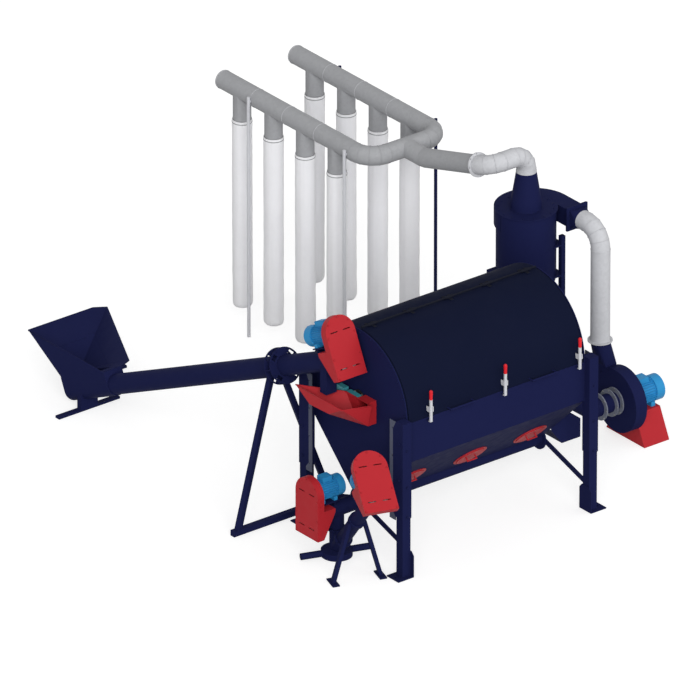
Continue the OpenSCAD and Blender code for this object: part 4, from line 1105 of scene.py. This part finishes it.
@dataclass
class Drum(Assembly):
    """The screen drum on its shaft and bearings, and the geared motor that turns it."""

    radius: float = 0.525
    length: float = 1.62
    axis_z: float = 1.322
    rows: int = 41
    around: int = 82
    hole: float = 0.0125
    sheet: float = 0.003
    bearing_x: float = 0.915
    bearing_bolts: float = 0.062

    def build(self, repeat: Repeaters) -> None:
        """Dresses the drum and makes its perforated screen.

        Args:
            repeat: the geometry trees.
        """
        dress("drum", Look.STEEL)
        dress("drum_bearings", Look.CAST)
        dress("drum_gearmotor", Look.TEAL)
        spots = [spot for side in (-1, 1)
                 for spot in circle_spots(Vector((side * self.bearing_x, 0, self.axis_z)),
                                          X * side, self.bearing_bolts, 4, start=45)]
        repeat.bolt("bearing_bolts", spots, Look.STEEL, head=0.008, height=0.006)
        self.build_screen()

    @staticmethod
    def roll(g: Graph, put: Sockets) -> dict:
        """Lays cells on a grid and rolls the grid into a tube.

        Args:
            g: the graph to fill.
            put: the tree's inputs, by name.

        Returns:
            What each output takes.
        """
        pitch = g.sum("DIVIDE", put["Length"], put["Rows"])
        turn = g.sum("DIVIDE", math.tau, put["Around"])
        grid = g.out("GeometryNodeMeshGrid", {
            "Size X": g.sum("SUBTRACT", put["Length"], pitch),
            "Size Y": g.sum("SUBTRACT", math.tau, turn),
            "Vertices X": put["Rows"], "Vertices Y": put["Around"]})
        cells = g.out("GeometryNodeInstanceOnPoints", {
            "Points": grid, "Instance": put["Cell"], "Scale": g.vector(pitch, turn, 1.0)})
        sheet = g.out("GeometryNodeRealizeInstances", {"Geometry": cells})
        whole = g.out("GeometryNodeMergeByDistance", {"Geometry": sheet, "Distance": 1e-5})
        where = g.add("ShaderNodeSeparateXYZ", {0: g.out("GeometryNodeInputPosition")}).outputs
        reach = g.plus(put["Radius"], where["Z"])
        rolled = g.vector(where["X"], g.times(reach, g.sum("COSINE", where["Y"])),
                          g.times(reach, g.sum("SINE", where["Y"])))
        shaped = g.out("GeometryNodeSetPosition", {"Geometry": whole, "Position": rolled})
        closed = g.out("GeometryNodeMergeByDistance", {"Geometry": shaped, "Distance": 2e-5})
        return {"Screen": g.out("GeometryNodeSetMaterial", {
            "Geometry": closed, "Material": put["Finish"]})}

    def build_screen(self) -> None:
        """Rolls a sheet of punched cells into the drum's wall."""
        inputs: Inputs = {
            "Cell": (GEOMETRY, None), "Radius": (FLOAT, self.radius),
            "Length": (FLOAT, self.length), "Rows": (COUNT, self.rows),
            "Around": (COUNT, self.around), "Finish": (MATERIAL, None)}
        tree = node_group("punched_screen", inputs, {"Screen": GEOMETRY}, self.roll,
                          "GeometryNodeTree")
        cell = add_object("screen_cell", self.punched_cell())
        mesh = run_tree(cell, tree, Look.SCREEN)
        bpy.data.objects.remove(cell)
        mesh.transform(Matrix.Translation((0, 0, self.axis_z)))
        smooth(mesh, 35)
        screen = add_object("drum_screen_punched", mesh)
        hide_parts("drum_screen")
        keep(screen, Look.SCREEN, frame["nodes"]["drum_screen"]["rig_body"])

    def punched_cell(self) -> bpy.types.Mesh:
        """Builds one cell: a unit square of sheet with an eight-sided hole, as a thin open box.

        Returns:
            The cell, which is stretched and rolled with the sheet until its hole is round.
        """
        form = bmesh.new()
        long = self.hole / (self.length / self.rows)
        round_way = self.hole / (self.radius * math.tau / self.around)
        half, cut = 0.5, 0.207
        rim = [(half, cut), (cut, half), (-cut, half), (-half, cut),
               (-half, -cut), (-cut, -half), (cut, -half), (half, -cut)]
        square = [(half, half), (-half, half), (-half, -half), (half, -half)]
        angles = [math.tau * i / 8 + math.pi / 8 for i in range(8)]
        hole = [(long * math.cos(a), round_way * math.sin(a)) for a in angles]
        levels = [[[form.verts.new((x, y, z)) for x, y in ring] for ring in (hole, rim, square)]
                  for z in (0.0, -self.sheet)]
        for level, (inner, outer, corners) in enumerate(levels):
            faces = [[inner[i], outer[i], outer[(i + 1) % 8], inner[(i + 1) % 8]]
                     for i in range(8)]
            faces += [[outer[2 * i], corner, outer[2 * i + 1]]
                      for i, corner in enumerate(corners)]
            for face in faces:
                form.faces.new(face if level == 0 else face[::-1])
        top, low = levels[0][0], levels[1][0]
        for i in range(8):
            form.faces.new([top[(i + 1) % 8], low[(i + 1) % 8], low[i], top[i]])
        return mesh_of(form, "screen_cell")


# ---- Legs ----
@dataclass
class Legs(Assembly):
    """The sliding legs in their sleeves, with drilled strips, set screws and braces."""

    sleeve: float = 0.09
    strip_y: float = 0.5738
    screw_heights: tuple[float, ...] = (0.60, 0.86, 1.18)
    clamp_drop: float = 0.06

    def build(self, repeat: Repeaters) -> None:
        """Dresses the legs and adds the screws that hold them.

        Args:
            repeat: the geometry trees.
        """
        strip: Zone = (Look.STRIP, lambda c: abs(c.y) < self.strip_y)
        screws, clamps = [], []
        for side, node in ((-1, "sleeves_left"), (1, "sleeves_right")):
            dress(node, Look.NAVY, [strip])
            low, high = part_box(node)
            outer = high.x if side > 0 else low.x
            for end in (-1, 1):
                y = end * (high.y - self.sleeve / 2)
                for z in self.screw_heights:
                    screws.append(Spot(Vector((outer, y, z)), X * side))
                    clamps.append(Spot(Vector((outer - side * self.sleeve / 2, end * high.y,
                                               z - self.clamp_drop)), Y * end))
        repeat.bolt("sleeve_set_screws", screws, Look.NAVY, head=0.011, height=0.012)
        repeat.bolt("sleeve_clamp_screws", clamps, Look.NAVY, head=0.009, height=0.009)
        dress_all(Look.NAVY, "leg_front_left", "leg_front_right", "leg_rear_left",
                  "leg_rear_right", "braces")


# ---- Belt drives ----
@dataclass
class Drive(Assembly):
    """One belt drive: guard, motor, bracket and pulleys, in the axes of its own screw."""

    name: str
    place: Matrix
    guard_half: float = 0.144
    guard_front: float = 0.033
    screw_inset: float = 0.014
    screw_step: float = 0.02
    low_tab: float = 0.6
    high_tab: float = 0.8
    centres: float = 0.213
    foot: float = 0.157
    motor_face: float = -0.0333
    motor_radius: float = 0.088
    motor_length: float = 0.27
    box_over: float = 0.028
    box_half: float = 0.028
    box_inset: float = 0.01
    box_share: tuple[float, float] = (0.40, 0.75)

    def build(self, repeat: Repeaters) -> None:
        """Dresses the drive and adds its screws, tabs, grille and box lid.

        Args:
            repeat: the geometry trees.
        """
        dress(f"{self.name}_guard", Look.RED)
        dress(f"{self.name}_motor", Look.MOTOR)
        dress(f"{self.name}_motor_pulley", Look.CAST)
        repeat.bolt(f"{self.name}_guard_screws", self.guard_screws(), Look.RED,
                    head=0.0065, height=0.004)
        repeat.bars.grow(f"{self.name}_guard_hinges", self.guard_tabs(), Look.RED,
                         Length=0.05, Width=0.022, Thickness=0.004)
        self.add_motor_parts(repeat)

    def guard_screws(self) -> list[Spot]:
        """Gives the screws round the guard's cover.

        Returns:
            The screws' places.
        """
        edge = self.guard_half - self.screw_inset
        flat = [Spot(Vector((self.guard_front, y, z)), X) for y in (-edge, edge)
                for z in (-self.foot + self.screw_inset, self.screw_step,
                          self.centres - self.screw_step)]
        crown = circle_spots(Vector((self.guard_front, 0, self.centres)), X, edge, 3,
                             start=-50, sweep=100)
        return in_frame(self.place, flat + crown)

    def guard_tabs(self) -> list[Spot]:
        """Gives the hinge tabs on one side of the guard.

        Returns:
            The tabs' places.
        """
        heights = (-self.foot * self.low_tab, self.centres * self.high_tab)
        return in_frame(self.place, [Spot(Vector((0.0, self.guard_half - 0.001, z)), Y)
                                     for z in heights])

    def add_motor_parts(self, repeat: Repeaters) -> None:
        """Adds the cowl's grille of black bars, painted shade for its slots, and the terminal
        box's lid and screws.

        Args:
            repeat: the geometry trees.
        """
        back = self.motor_face - self.motor_length
        cowl = in_frame(self.place, [Spot(Vector((back - DETAIL_GAP, 0, self.centres)), -X)])
        repeat.grille(self.name, cowl, ((0.030, 18), (0.055, 30)), length=0.017,
                      width=0.0032)
        top = self.centres + self.motor_radius + self.box_over
        low, high = (back + self.motor_length * share for share in self.box_share)
        box = [Spot(Vector((x, y, top)), Z) for x in (low + self.box_inset, high - self.box_inset)
               for y in (-self.box_half, self.box_half)]
        repeat.bolt(f"{self.name}_box_screws", in_frame(self.place, box), Look.MOTOR,
                    head=0.004, height=0.003)
        lid = [Spot(Vector(((low + high) / 2, 0, top)), Z, X)]
        repeat.bars.grow(f"{self.name}_box_lid", in_frame(self.place, lid), Look.MOTOR,
                         Length=high - low - 0.002, Width=0.072, Thickness=0.0025)


# ---- Feed line ----
@dataclass
class FeedLine(Assembly):
    """The hopper, the inclined auger with its lantern flanges and stand, and the red chute."""

    place: Matrix
    lantern: float = 0.150
    bolt_inset: float = 0.011
    flange_at: float = -0.8313
    flange_half: float = 0.045
    rim_band: float = 0.01
    trough_sides: tuple[float, float] = (-1.184, -1.000)
    trough_end: tuple[float, float] = (3.523, 0.218)
    lining: float = 0.003
    lining_rise: float = 0.7

    def build(self, repeat: Repeaters) -> None:
        """Dresses the feed line and adds its bolts, hems and lining.

        Args:
            repeat: the geometry trees.
        """
        dress_all(Look.NAVY, "feed_tube", "feed_hopper", "auger_stand")
        dress("feed_chute", Look.RED)
        dress("feed_screw", Look.STEEL)
        bolts = []
        for way in (-1, 1):
            at = Vector((self.flange_at + way * self.flange_half, 0, 0))
            bolts += circle_spots(at, X * way, self.lantern - self.bolt_inset, 8, start=22.5)
        repeat.bolt("lantern_bolts", in_frame(self.place, bolts), Look.NAVY,
                    head=0.0085, height=0.006)
        self.add_rim("feed_hopper", "hopper_rim_hem", Look.NAVY, radius=0.007)
        self.add_rim("feed_chute", "chute_rim_hem", Look.RED, radius=0.006)
        self.add_lining()

    def rim_of(self, node: str) -> tuple[float, list[tuple[float, float]]]:
        """Finds a node's level rim.

        Args:
            node: the CAD node.

        Returns:
            The rim's height and its corners, anticlockwise.
        """
        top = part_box(node)[1].z
        levels: dict[float, set[tuple[float, float]]] = {}
        for v in frame["nodes"][node].data.vertices:
            if v.co.z > top - self.rim_band:
                levels.setdefault(round(v.co.z, 3), set()).add(
                    (round(v.co.x, 4), round(v.co.y, 4)))
        height, level = max(levels.items(), key=lambda item: len(item[1]))
        return height, hull(level)

    def add_lining(self) -> None:
        """Lines the hopper's slopes with sheet from the trough's edge upward."""
        height, outline = self.rim_of("feed_hopper")
        rim = [Vector((x, y, height)) for x, y in outline]
        near, far = (Vector((x, *self.trough_end)) for x in self.trough_sides)
        first = min(range(len(rim)), key=lambda i: (round(rim[i].y, 3), rim[i].x))
        rim = rim[first:] + rim[:first]
        past, beside = 0.02, 0.01
        edge = [Vector((far.x, rim[0].y, height))] + [p for p in rim[1:] if p.x > far.x + past]
        tops = [far.lerp(p, self.lining_rise) for p in edge]
        inner = next(p for p in reversed(rim) if abs(p.x - near.x) < beside)
        points = [near, far, *tops, near.lerp(inner, self.lining_rise)]
        faces = [(0, 1, len(points) - 2, len(points) - 1)]
        faces += [(1, i, i + 1) for i in range(2, len(points) - 2)]
        mesh = bpy.data.meshes.new("hopper_lining")
        mesh.from_pydata([tuple(p) for p in points], [], faces)
        mesh.update()
        if mesh.polygons[0].normal.z < 0:
            mesh.flip_normals()
        piece = add_object("hopper_lining", mesh)
        wall = piece.modifiers.new("Solidify", "SOLIDIFY")
        wall.thickness = self.lining
        wall.offset = 0.8
        wall.use_even_offset = True
        keep(piece, Look.NAVY)

    def add_rim(self, node: str, name: str, look: Look, radius: float) -> None:
        """Rolls a hem along a node's level rim.

        Args:
            node: the CAD node whose rim it follows.
            name: the hem's name.
            look: its finish.
            radius: the roll's radius.
        """
        top, outline = self.rim_of(node)
        centre = sum((Vector(p) for p in outline), Vector((0, 0))) / len(outline)
        curve = bpy.data.curves.new(name, "CURVE")
        curve.dimensions = "3D"
        curve.bevel_depth = radius
        curve.bevel_resolution = 3
        line = curve.splines.new("POLY")
        line.points.add(len(outline) - 1)
        for point, (x, y) in zip(line.points, outline):
            inward = (centre - Vector((x, y))).normalized() * radius
            point.co = (x + inward.x, y + inward.y, top - radius, 1)
        line.use_cyclic_u = True
        rod = add_object(name, curve)
        mesh = evaluated(rod)
        bpy.data.objects.remove(rod)
        mesh.shade_smooth()
        keep(add_object(name, mesh), look)


def hull(points: Iterable[tuple[float, float]]) -> list[tuple[float, float]]:
    """Gives the convex outline of flat points, anticlockwise.

    Args:
        points: the points.

    Returns:
        The outline's corners.
    """
    ordered = sorted(points)

    def chain(row: Iterable[tuple[float, float]]) -> list[tuple[float, float]]:
        """Keeps the points that turn left.

        Args:
            row: the points in order.

        Returns:
            The points kept, without the last.
        """
        kept: list[tuple[float, float]] = []
        for p in row:
            while len(kept) > 1 and ((kept[-1][0] - kept[-2][0]) * (p[1] - kept[-2][1])
                                     - (kept[-1][1] - kept[-2][1]) * (p[0] - kept[-2][0])) <= 1e-6:
                kept.pop()
            kept.append(p)
        return kept[:-1]

    return chain(ordered) + chain(reversed(ordered))


# ---- Lower screws ----
@dataclass
class LowerScrews(Assembly):
    """The trough screw's tube, the boot and the lifting screw on its two legs."""

    lift: Matrix
    trough_z: float = 0.416
    trough_flange: tuple[float, float] = (0.917, 0.094)
    lift_flange: tuple[float, float] = (0.223, 0.067)
    spout_flange: tuple[float, float] = (0.248, 0.070)

    def build(self, repeat: Repeaters) -> None:
        """Dresses the lower screws and adds their flange bolts.

        Args:
            repeat: the geometry trees.
        """
        dress_all(Look.NAVY, "trough_tube", "boot", "lift_tube", "lift_stand")
        dress_all(Look.STEEL, "trough_screw", "lift_screw")
        dress("belts", Look.BELT)
        at, radius = self.lift_flange
        spots = in_frame(self.lift, circle_spots(X * at, X, radius, 6))
        low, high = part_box("boot")
        at, radius = self.spout_flange
        spots += circle_spots(Vector(((low.x + high.x) / 2, 0, at)), Z, radius, 6, start=30)
        at, radius = self.trough_flange
        for side in (-1, 1):
            spots += circle_spots(Vector((side * at, 0, self.trough_z)), X * side, radius, 8,
                                  start=22.5)
        repeat.bolt("lower_flange_bolts", spots, Look.NAVY, head=0.0065, height=0.005)


# ---- Fan, ducts and cyclone ----
@dataclass
class Aspiration(Assembly):
    """The suction duct, fan, riser, cyclone and the pipe to the filter."""

    duct: float = 0.080
    fan_y: float = 0.191
    fan_z: float = 0.368
    fan_face: float = 1.861
    case_radius: float = 0.258
    rings_reach: float = 0.3
    ring_bolts: float = 0.107
    ring_places: tuple[float, ...] = (0.005, 0.060, 0.170)
    ring_half: float = 0.005
    ring_step: float = 0.003
    riser: tuple[Point, ...] = ((1.891, 0.423, 1.5), (1.891, 0.423, 1.8), (1.891, 0.7, 1.8))
    riser_foot: float = 0.8095
    riser_bend: float = 0.176
    cyclone: Point = (1.575, 0.983, 1.880)
    cyclone_radius: float = 0.244
    plate_inset: float = 0.018
    gate_flange: tuple[float, float] = (0.568, 0.093)
    cone_high: float = 2.195
    long_run: float = 1.16
    outlet_bend: float = 0.128
    outlet: tuple[Point, ...] = (
        (1.575, 0.983, 2.1), (1.575, 0.983, 2.358), (1.198, 0.983, 2.358),
        (1.198, 1.813, 2.117), (1.198, 1.923, 2.117))

    def build(self, repeat: Repeaters) -> None:
        """Dresses the line and adds its bolts, beads and grille.

        Args:
            repeat: the geometry trees.
        """
        dress("suction_duct", Look.NAVY, [(Look.RING, self.is_ring)])
        dress("riser_duct", Look.LIGHT_ZINC, [(Look.NAVY, lambda c: c.z < self.riser_foot)])
        # The outlet pipe's long run takes ZINC, the painted shade tone, and its bends the lit
        # tone.
        dress("clean_air_pipe", Look.LIGHT_ZINC,
              [(Look.NAVY, self.is_cone), (Look.ZINC, lambda c: c.y > self.long_run)])
        dress_all(Look.NAVY, "discharge_chute", "fan_scroll", "cyclone", "cyclone_inlet",
                  "cyclone_stand")
        dress("fan_rotor", Look.STEEL)
        dress("fan_motor", Look.MOTOR)
        dress("fan_pedestal", Look.RED)
        dress("dust_gate", Look.STEEL)
        self.add_flange_bolts(repeat)
        self.add_cyclone_bolts(repeat)
        self.add_fan_parts(repeat)
        self.add_duct_beads(repeat)

    def is_cone(self, c: Vector) -> bool:
        """Tells whether a place on the clean air pipe is on its cone."""
        return c.z < self.cone_high and c.y < self.cyclone[1] + self.cyclone_radius

    def is_ring(self, c: Vector) -> bool:
        """Tells whether a place on the suction duct is on one of its flange rings."""
        away = math.hypot(c.y - self.fan_y, c.z - self.fan_z)
        return c.x > self.fan_face - self.rings_reach and away > self.duct + self.ring_step

    def add_flange_bolts(self, repeat: Repeaters) -> None:
        """Bolts the suction duct's joint rings together.

        Args:
            repeat: the geometry trees.
        """
        spots = []
        for back in self.ring_places:
            centre = Vector((self.fan_face - back - self.ring_half, self.fan_y, self.fan_z))
            spots += circle_spots(centre, -X, self.ring_bolts, 8)
        repeat.bolt("suction_ring_bolts", spots, Look.STEEL, head=0.0075, height=0.005)

    def add_cyclone_bolts(self, repeat: Repeaters) -> None:
        """Bolts the cyclone's top plate and gate flange.

        Args:
            repeat: the geometry trees.
        """
        x, y, _ = self.cyclone
        spots = circle_spots(Vector(self.cyclone), Z, self.cyclone_radius - self.plate_inset, 16)
        gate_z, radius = self.gate_flange
        spots += circle_spots(Vector((x, y, gate_z)), Z, radius, 6, start=30)
        repeat.bolt("cyclone_bolts", spots, Look.NAVY, head=0.0075, height=0.005)

    def add_fan_parts(self, repeat: Repeaters) -> None:
        """Adds the fan's case screws and the motor's grille of black bars, painted shade for its
        slots.

        Args:
            repeat: the geometry trees.
        """
        centre = Vector((self.fan_face, self.fan_y, self.fan_z))
        rim = circle_spots(centre, -X, self.case_radius, 14, start=20, sweep=300)
        repeat.bolt("fan_case_screws", rim, Look.NAVY, head=0.0065, height=0.004)
        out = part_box("fan_motor")[1].x
        cowl = [Spot(Vector((out + DETAIL_GAP, self.fan_y, self.fan_z)), X)]
        repeat.grille("fan_motor", cowl, ((0.034, 18), (0.064, 32)), length=0.020,
                      width=0.0036)

    def add_duct_beads(self, repeat: Repeaters) -> None:
        """Adds the seams of the bends' segments.

        Args:
            repeat: the geometry trees.
        """
        riser, out = ([Vector(p) for p in path] for path in (self.riser, self.outlet))
        seams = bend_seams(riser, self.riser_bend, 5)
        seams += bend_seams(out[0:3], self.outlet_bend, 5)
        seams += bend_seams(out[1:4], self.outlet_bend, 4)
        repeat.seam("bend_seams", seams, Look.LIGHT_ZINC, self.duct + SEAM_RISE)


# ---- Filter ----
@dataclass
class Filter(Assembly):
    """The manifold with its eight cloth bags, their clamps and poles."""

    row_x: tuple[float, float] = (0.824, 1.571)
    first_y: float = 2.480
    pitch: float = 0.412
    per_row: int = 4
    radius: float = 0.0825
    low: float = 0.175
    high: float = 1.858
    band_drop: float = 0.022
    hem_drop: float = 0.048
    hem_stitches: int = 60
    axis_z: float = 2.117
    tee_y: float = 2.063
    bend: float = 0.176
    duct: float = 0.080
    end_bead: float = 0.24
    around: int = 72
    levels: int = 96
    cloth: float = 0.0022
    foot_round: float = 0.045
    gather_height: float = 0.16
    pleats: int = 18
    pleat_depth: float = 0.0018
    cord_drop: float = 0.06
    cord_bulge: float = 0.0016
    fold_depth: float = 0.0045
    crease_depth: float = 0.0030
    seam_ridge: float = 0.0015
    lean: float = 0.004

    def build(self, repeat: Repeaters) -> None:
        """Dresses the manifold and poles, and hangs the bags.

        Args:
            repeat: the geometry trees.
        """
        # The manifold takes ZINC, the painted shade tone of the duct zinc.
        dress_all(Look.ZINC, "manifold_tee", "manifold_left", "manifold_right")
        dress("bag_poles", Look.NAVY, [(Look.PALE, lambda c: c.x < self.row_x[0])])
        bands, beads, stitches = [], [], []
        for row, x in zip(("left", "right"), self.row_x):
            for i in range(self.per_row):
                y = self.first_y + i * self.pitch
                self.hang_bag(f"bag_{row}_{i + 1}", f"bags_{row}", f"manifold_{row}",
                              Vector((x, y)), seed=i + self.per_row * (row == "right"))
                bands.append(Spot(Vector((x, y, self.high - self.band_drop)), Z))
                stitches += self.stitches_round(Vector((x, y, self.high - self.hem_drop)))
            last = self.first_y + (self.per_row - 1) * self.pitch
            places = [self.first_y + (i - 0.5) * self.pitch for i in range(1, self.per_row)]
            beads += [Spot(Vector((x, y, self.axis_z)), Y)
                      for y in (*places, last + self.end_bead)]
        repeat.seam("bag_clamp_bands", bands, Look.ZINC, self.radius + 0.001,
                    section=(0.008, 0.002))
        repeat.seam("manifold_beads", beads, Look.LIGHT_ZINC, self.duct + 0.001,
                    section=(0.005, 0.003))
        repeat.seam("tee_seams", self.tee_seams(), Look.ZINC, self.duct + SEAM_RISE)
        repeat.stitches.grow("bag_hem_stitches", stitches, Look.CLOTH, Length=0.006, Thread=0.0016)

    def tee_seams(self) -> list[Spot]:
        """Gives the seams of the two bends that lead to the rows.

        Returns:
            The seams' places.
        """
        corners = [Vector((x, self.tee_y, self.axis_z)) for x in self.row_x]
        rows = [c + Y * 0.3 for c in corners]
        return (bend_seams([rows[0], corners[0], corners[1]], self.bend, 5)
                + bend_seams([corners[0], corners[1], rows[1]], self.bend, 5))

    def stitches_round(self, centre: Vector) -> list[Spot]:
        """Gives the stitches round a bag's hem."""
        ring = circle_spots(centre, Z, self.radius + SEAM_RISE, self.hem_stitches)
        return [Spot(s.place, s.along, s.along.cross(Z)) for s in ring]

    def hang_bag(self, name: str, node: str, holder: str, axis: Vector, seed: int) -> None:
        """Makes one bag as a sewn cloth tube with a closed, rounded foot.

        Args:
            name: the bag's name.
            node: the CAD node that it stands for.
            holder: the manifold row that it hangs from; not used.
            axis: the bag's place.
            seed: sets its own creases.
        """
        form = bmesh.new()
        weave = form.loops.layers.uv.new("cloth")
        tall = self.high - self.low
        rows = []
        for level in range(self.levels + 1):
            z = self.low + tall * (level / self.levels) ** 1.15
            rows.append([form.verts.new(self.cloth_point(axis, z, i, seed))
                         for i in range(self.around)])
        for level, (row, above) in enumerate(zip(rows, rows[1:])):
            for i in range(self.around):
                j = (i + 1) % self.around
                face = form.faces.new([row[i], row[j], above[j], above[i]])
                for loop, (u, v) in zip(face.loops, ((i, level), (i + 1, level),
                                                     (i + 1, level + 1), (i, level + 1))):
                    loop[weave].uv = (u / self.around * math.tau * self.radius,
                                      v / self.levels * tall)
        foot = form.verts.new((axis.x, axis.y, self.low + 0.004))
        for i in range(self.around):
            face = form.faces.new([rows[0][(i + 1) % self.around], rows[0][i], foot])
            for loop in face.loops:
                loop[weave].uv = (loop.vert.co.x - axis.x, loop.vert.co.y - axis.y)
        mesh = mesh_of(form, name)
        mesh.shade_smooth()
        bag = add_object(name, mesh)
        cloth = bag.modifiers.new("cloth_thickness", "SOLIDIFY")
        cloth.thickness = self.cloth
        cloth.offset = -1
        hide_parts(node)
        keep(bag, Look.CLOTH, frame["nodes"][node]["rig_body"])

    def cloth_point(self, axis: Vector, z: float, i: int, seed: int) -> Point:
        """Places one point of a bag's cloth.

        Args:
            axis: the bag's place.
            z: the height.
            i: the point's number round the bag.
            seed: the bag's own creases.

        Returns:
            The point.
        """
        angle = math.tau * i / self.around
        x, y = math.cos(angle), math.sin(angle)
        up = (z - self.low) / (self.high - self.low)
        foot = min(1.0, (z - self.low) / self.foot_round)
        radius = self.radius * (0.70 + 0.30 * math.sqrt(max(0.0, 1 - (1 - foot) ** 2)))
        gather = max(0.0, 1 - (self.high - z) / self.gather_height)
        radius -= self.pleat_depth * gather * (1 + math.cos(self.pleats * angle + seed)) / 2
        radius += self.cord_bulge * math.exp(-((self.high - self.cord_drop - z) / 0.02) ** 2)
        slack = 0.35 + 0.65 * (1 - up) ** 1.5
        folds = noise.noise(Vector((2.1 * x, 2.1 * y, z * 1.4 + 7 * seed)))
        creases = noise.noise(Vector((1.2 * x, 1.2 * y, z * 9 + 5 * seed)))
        radius += slack * (self.fold_depth * folds + self.crease_depth * creases)
        radius += self.seam_ridge * math.exp(-((angle - math.pi * 1.15) / 0.05) ** 2)
        lean = self.lean * (1 - up) ** 2
        return (axis.x + radius * x + lean * math.sin(seed * 2.4),
                axis.y + radius * y + lean * math.cos(seed * 1.7), z)


# ---- Studio ----
@dataclass
class Studio:
    """The floor, the lamps and the camera."""

    target: Point = (-0.031, 1.228, 1.000)
    azimuth: float = -38.32
    elevation: float = 26.37
    width: float = 5.6
    lens: float = 1200.0
    sensor: float = 36.0

    def build(self) -> None:
        """Sets the stage."""
        self.add_floor()
        self.add_light("key_sun", 1.9, 40, (-0.52, -0.78, 0.42))
        self.add_light("fill_sun", 0.6, 70, (0.60, -0.85, 0.40))
        self.add_world()
        self.add_camera()
        bpy.context.scene.view_settings.view_transform = "Standard"

    @staticmethod
    def seen(g: Graph) -> Socket:
        """Gives 1 to the camera and through glass, 0.6 to gloss and 0 to other rays.

        Args:
            g: the graph to fill.

        Returns:
            The share that a ray sees.
        """
        path = g.add("ShaderNodeLightPath").outputs
        gloss = g.times(path["Is Glossy Ray"], 0.6)
        return g.sum("MAXIMUM", path["Is Camera Ray"],
                     g.sum("MAXIMUM", gloss, path["Is Transmission Ray"]))

    def add_floor(self) -> None:
        """Adds a plain pale floor that keeps the shadow."""
        form = bmesh.new()
        bmesh.ops.create_circle(form, cap_ends=True, segments=64, radius=60.0)
        floor = add_object("floor", mesh_of(form, "floor"))
        floor.location.z = -0.001
        material = bpy.data.materials.new("pale_floor")
        material.use_nodes = True
        g = Graph(material.node_tree)
        matt = g.out("ShaderNodeBsdfPrincipled", {
            "Base Color": (0.5, 0.5, 0.5, 1), "Roughness": 0.9, "Specular IOR Level": 0.0,
            "Emission Color": (1, 1, 1, 1), "Emission Strength": g.times(self.seen(g), 0.68)})
        g.add("ShaderNodeOutputMaterial", {"Surface": matt})
        floor.data.materials.append(material)

    @staticmethod
    def add_light(name: str, strength: float, softness: float, towards: Point) -> None:
        """Adds a soft sun.

        Args:
            name: the lamp's name.
            strength: its power.
            softness: its angle in degrees.
            towards: where the light comes from.
        """
        lamp = bpy.data.lights.new(name, "SUN")
        lamp.energy = strength
        lamp.angle = math.radians(softness)
        holder = add_object(name, lamp)
        holder.rotation_mode = "QUATERNION"
        holder.rotation_quaternion = Vector(towards).to_track_quat("Z", "Y")

    def add_world(self) -> None:
        """Lights evenly, and shows white to the camera, to gloss and through glass."""
        world = bpy.data.worlds.new("studio")
        bpy.context.scene.world = world
        world.use_nodes = True
        g = Graph(world.node_tree)
        strength = g.ramp(self.seen(g), 0.0, 1.0, 0.5, 1.0)
        g.add("ShaderNodeOutputWorld", {"Surface": g.out(
            "ShaderNodeBackground", {"Color": (1, 1, 1, 1), "Strength": strength})})

    def add_camera(self) -> None:
        """Places the long camera at its viewing angle."""
        a, e = math.radians(self.azimuth), math.radians(self.elevation)
        back = Vector((math.sin(a) * math.cos(e), -math.cos(a) * math.cos(e), math.sin(e)))
        data = bpy.data.cameras.new("camera")
        data.lens, data.sensor_width = self.lens, self.sensor
        distance = self.width * self.lens / self.sensor
        data.clip_start, data.clip_end = 1.0, distance * 3
        camera = add_object("camera", data)
        camera.location = Vector(self.target) + back * distance
        camera.rotation_mode = "QUATERNION"
        camera.rotation_quaternion = (-back).to_track_quat("-Z", "Y")
        bpy.context.scene.camera = camera


def main() -> None:
    """Builds the finishes, then each sub-assembly, then the studio."""
    logging.basicConfig(level=logging.INFO, format="%(name)s %(message)s")
    effects = Effects()
    for look in Look:
        look.value.build(effects)
    repeat = Repeaters()
    feed = axes((-1.092, 0.0, 1.723), -90, 25)
    lift = axes((-1.136, 0.0, 0.064), -108, 45)
    trough = axes((-1.407, 0.0, 0.416), 180, 0)
    Housing().build(repeat)
    Drum().build(repeat)
    Legs().build(repeat)
    FeedLine(feed).build(repeat)
    LowerScrews(lift).build(repeat)
    Drive("feed", feed @ Matrix.Translation((0.063, 0, 0)), motor_length=0.34).build(repeat)
    Drive("trough", trough).build(repeat)
    Drive("lift", lift @ Matrix.Translation((1.275, 0, 0))).build(repeat)
    Aspiration().build(repeat)
    Filter().build(repeat)
    Studio().build()


if __name__ == "__main__":
    main()
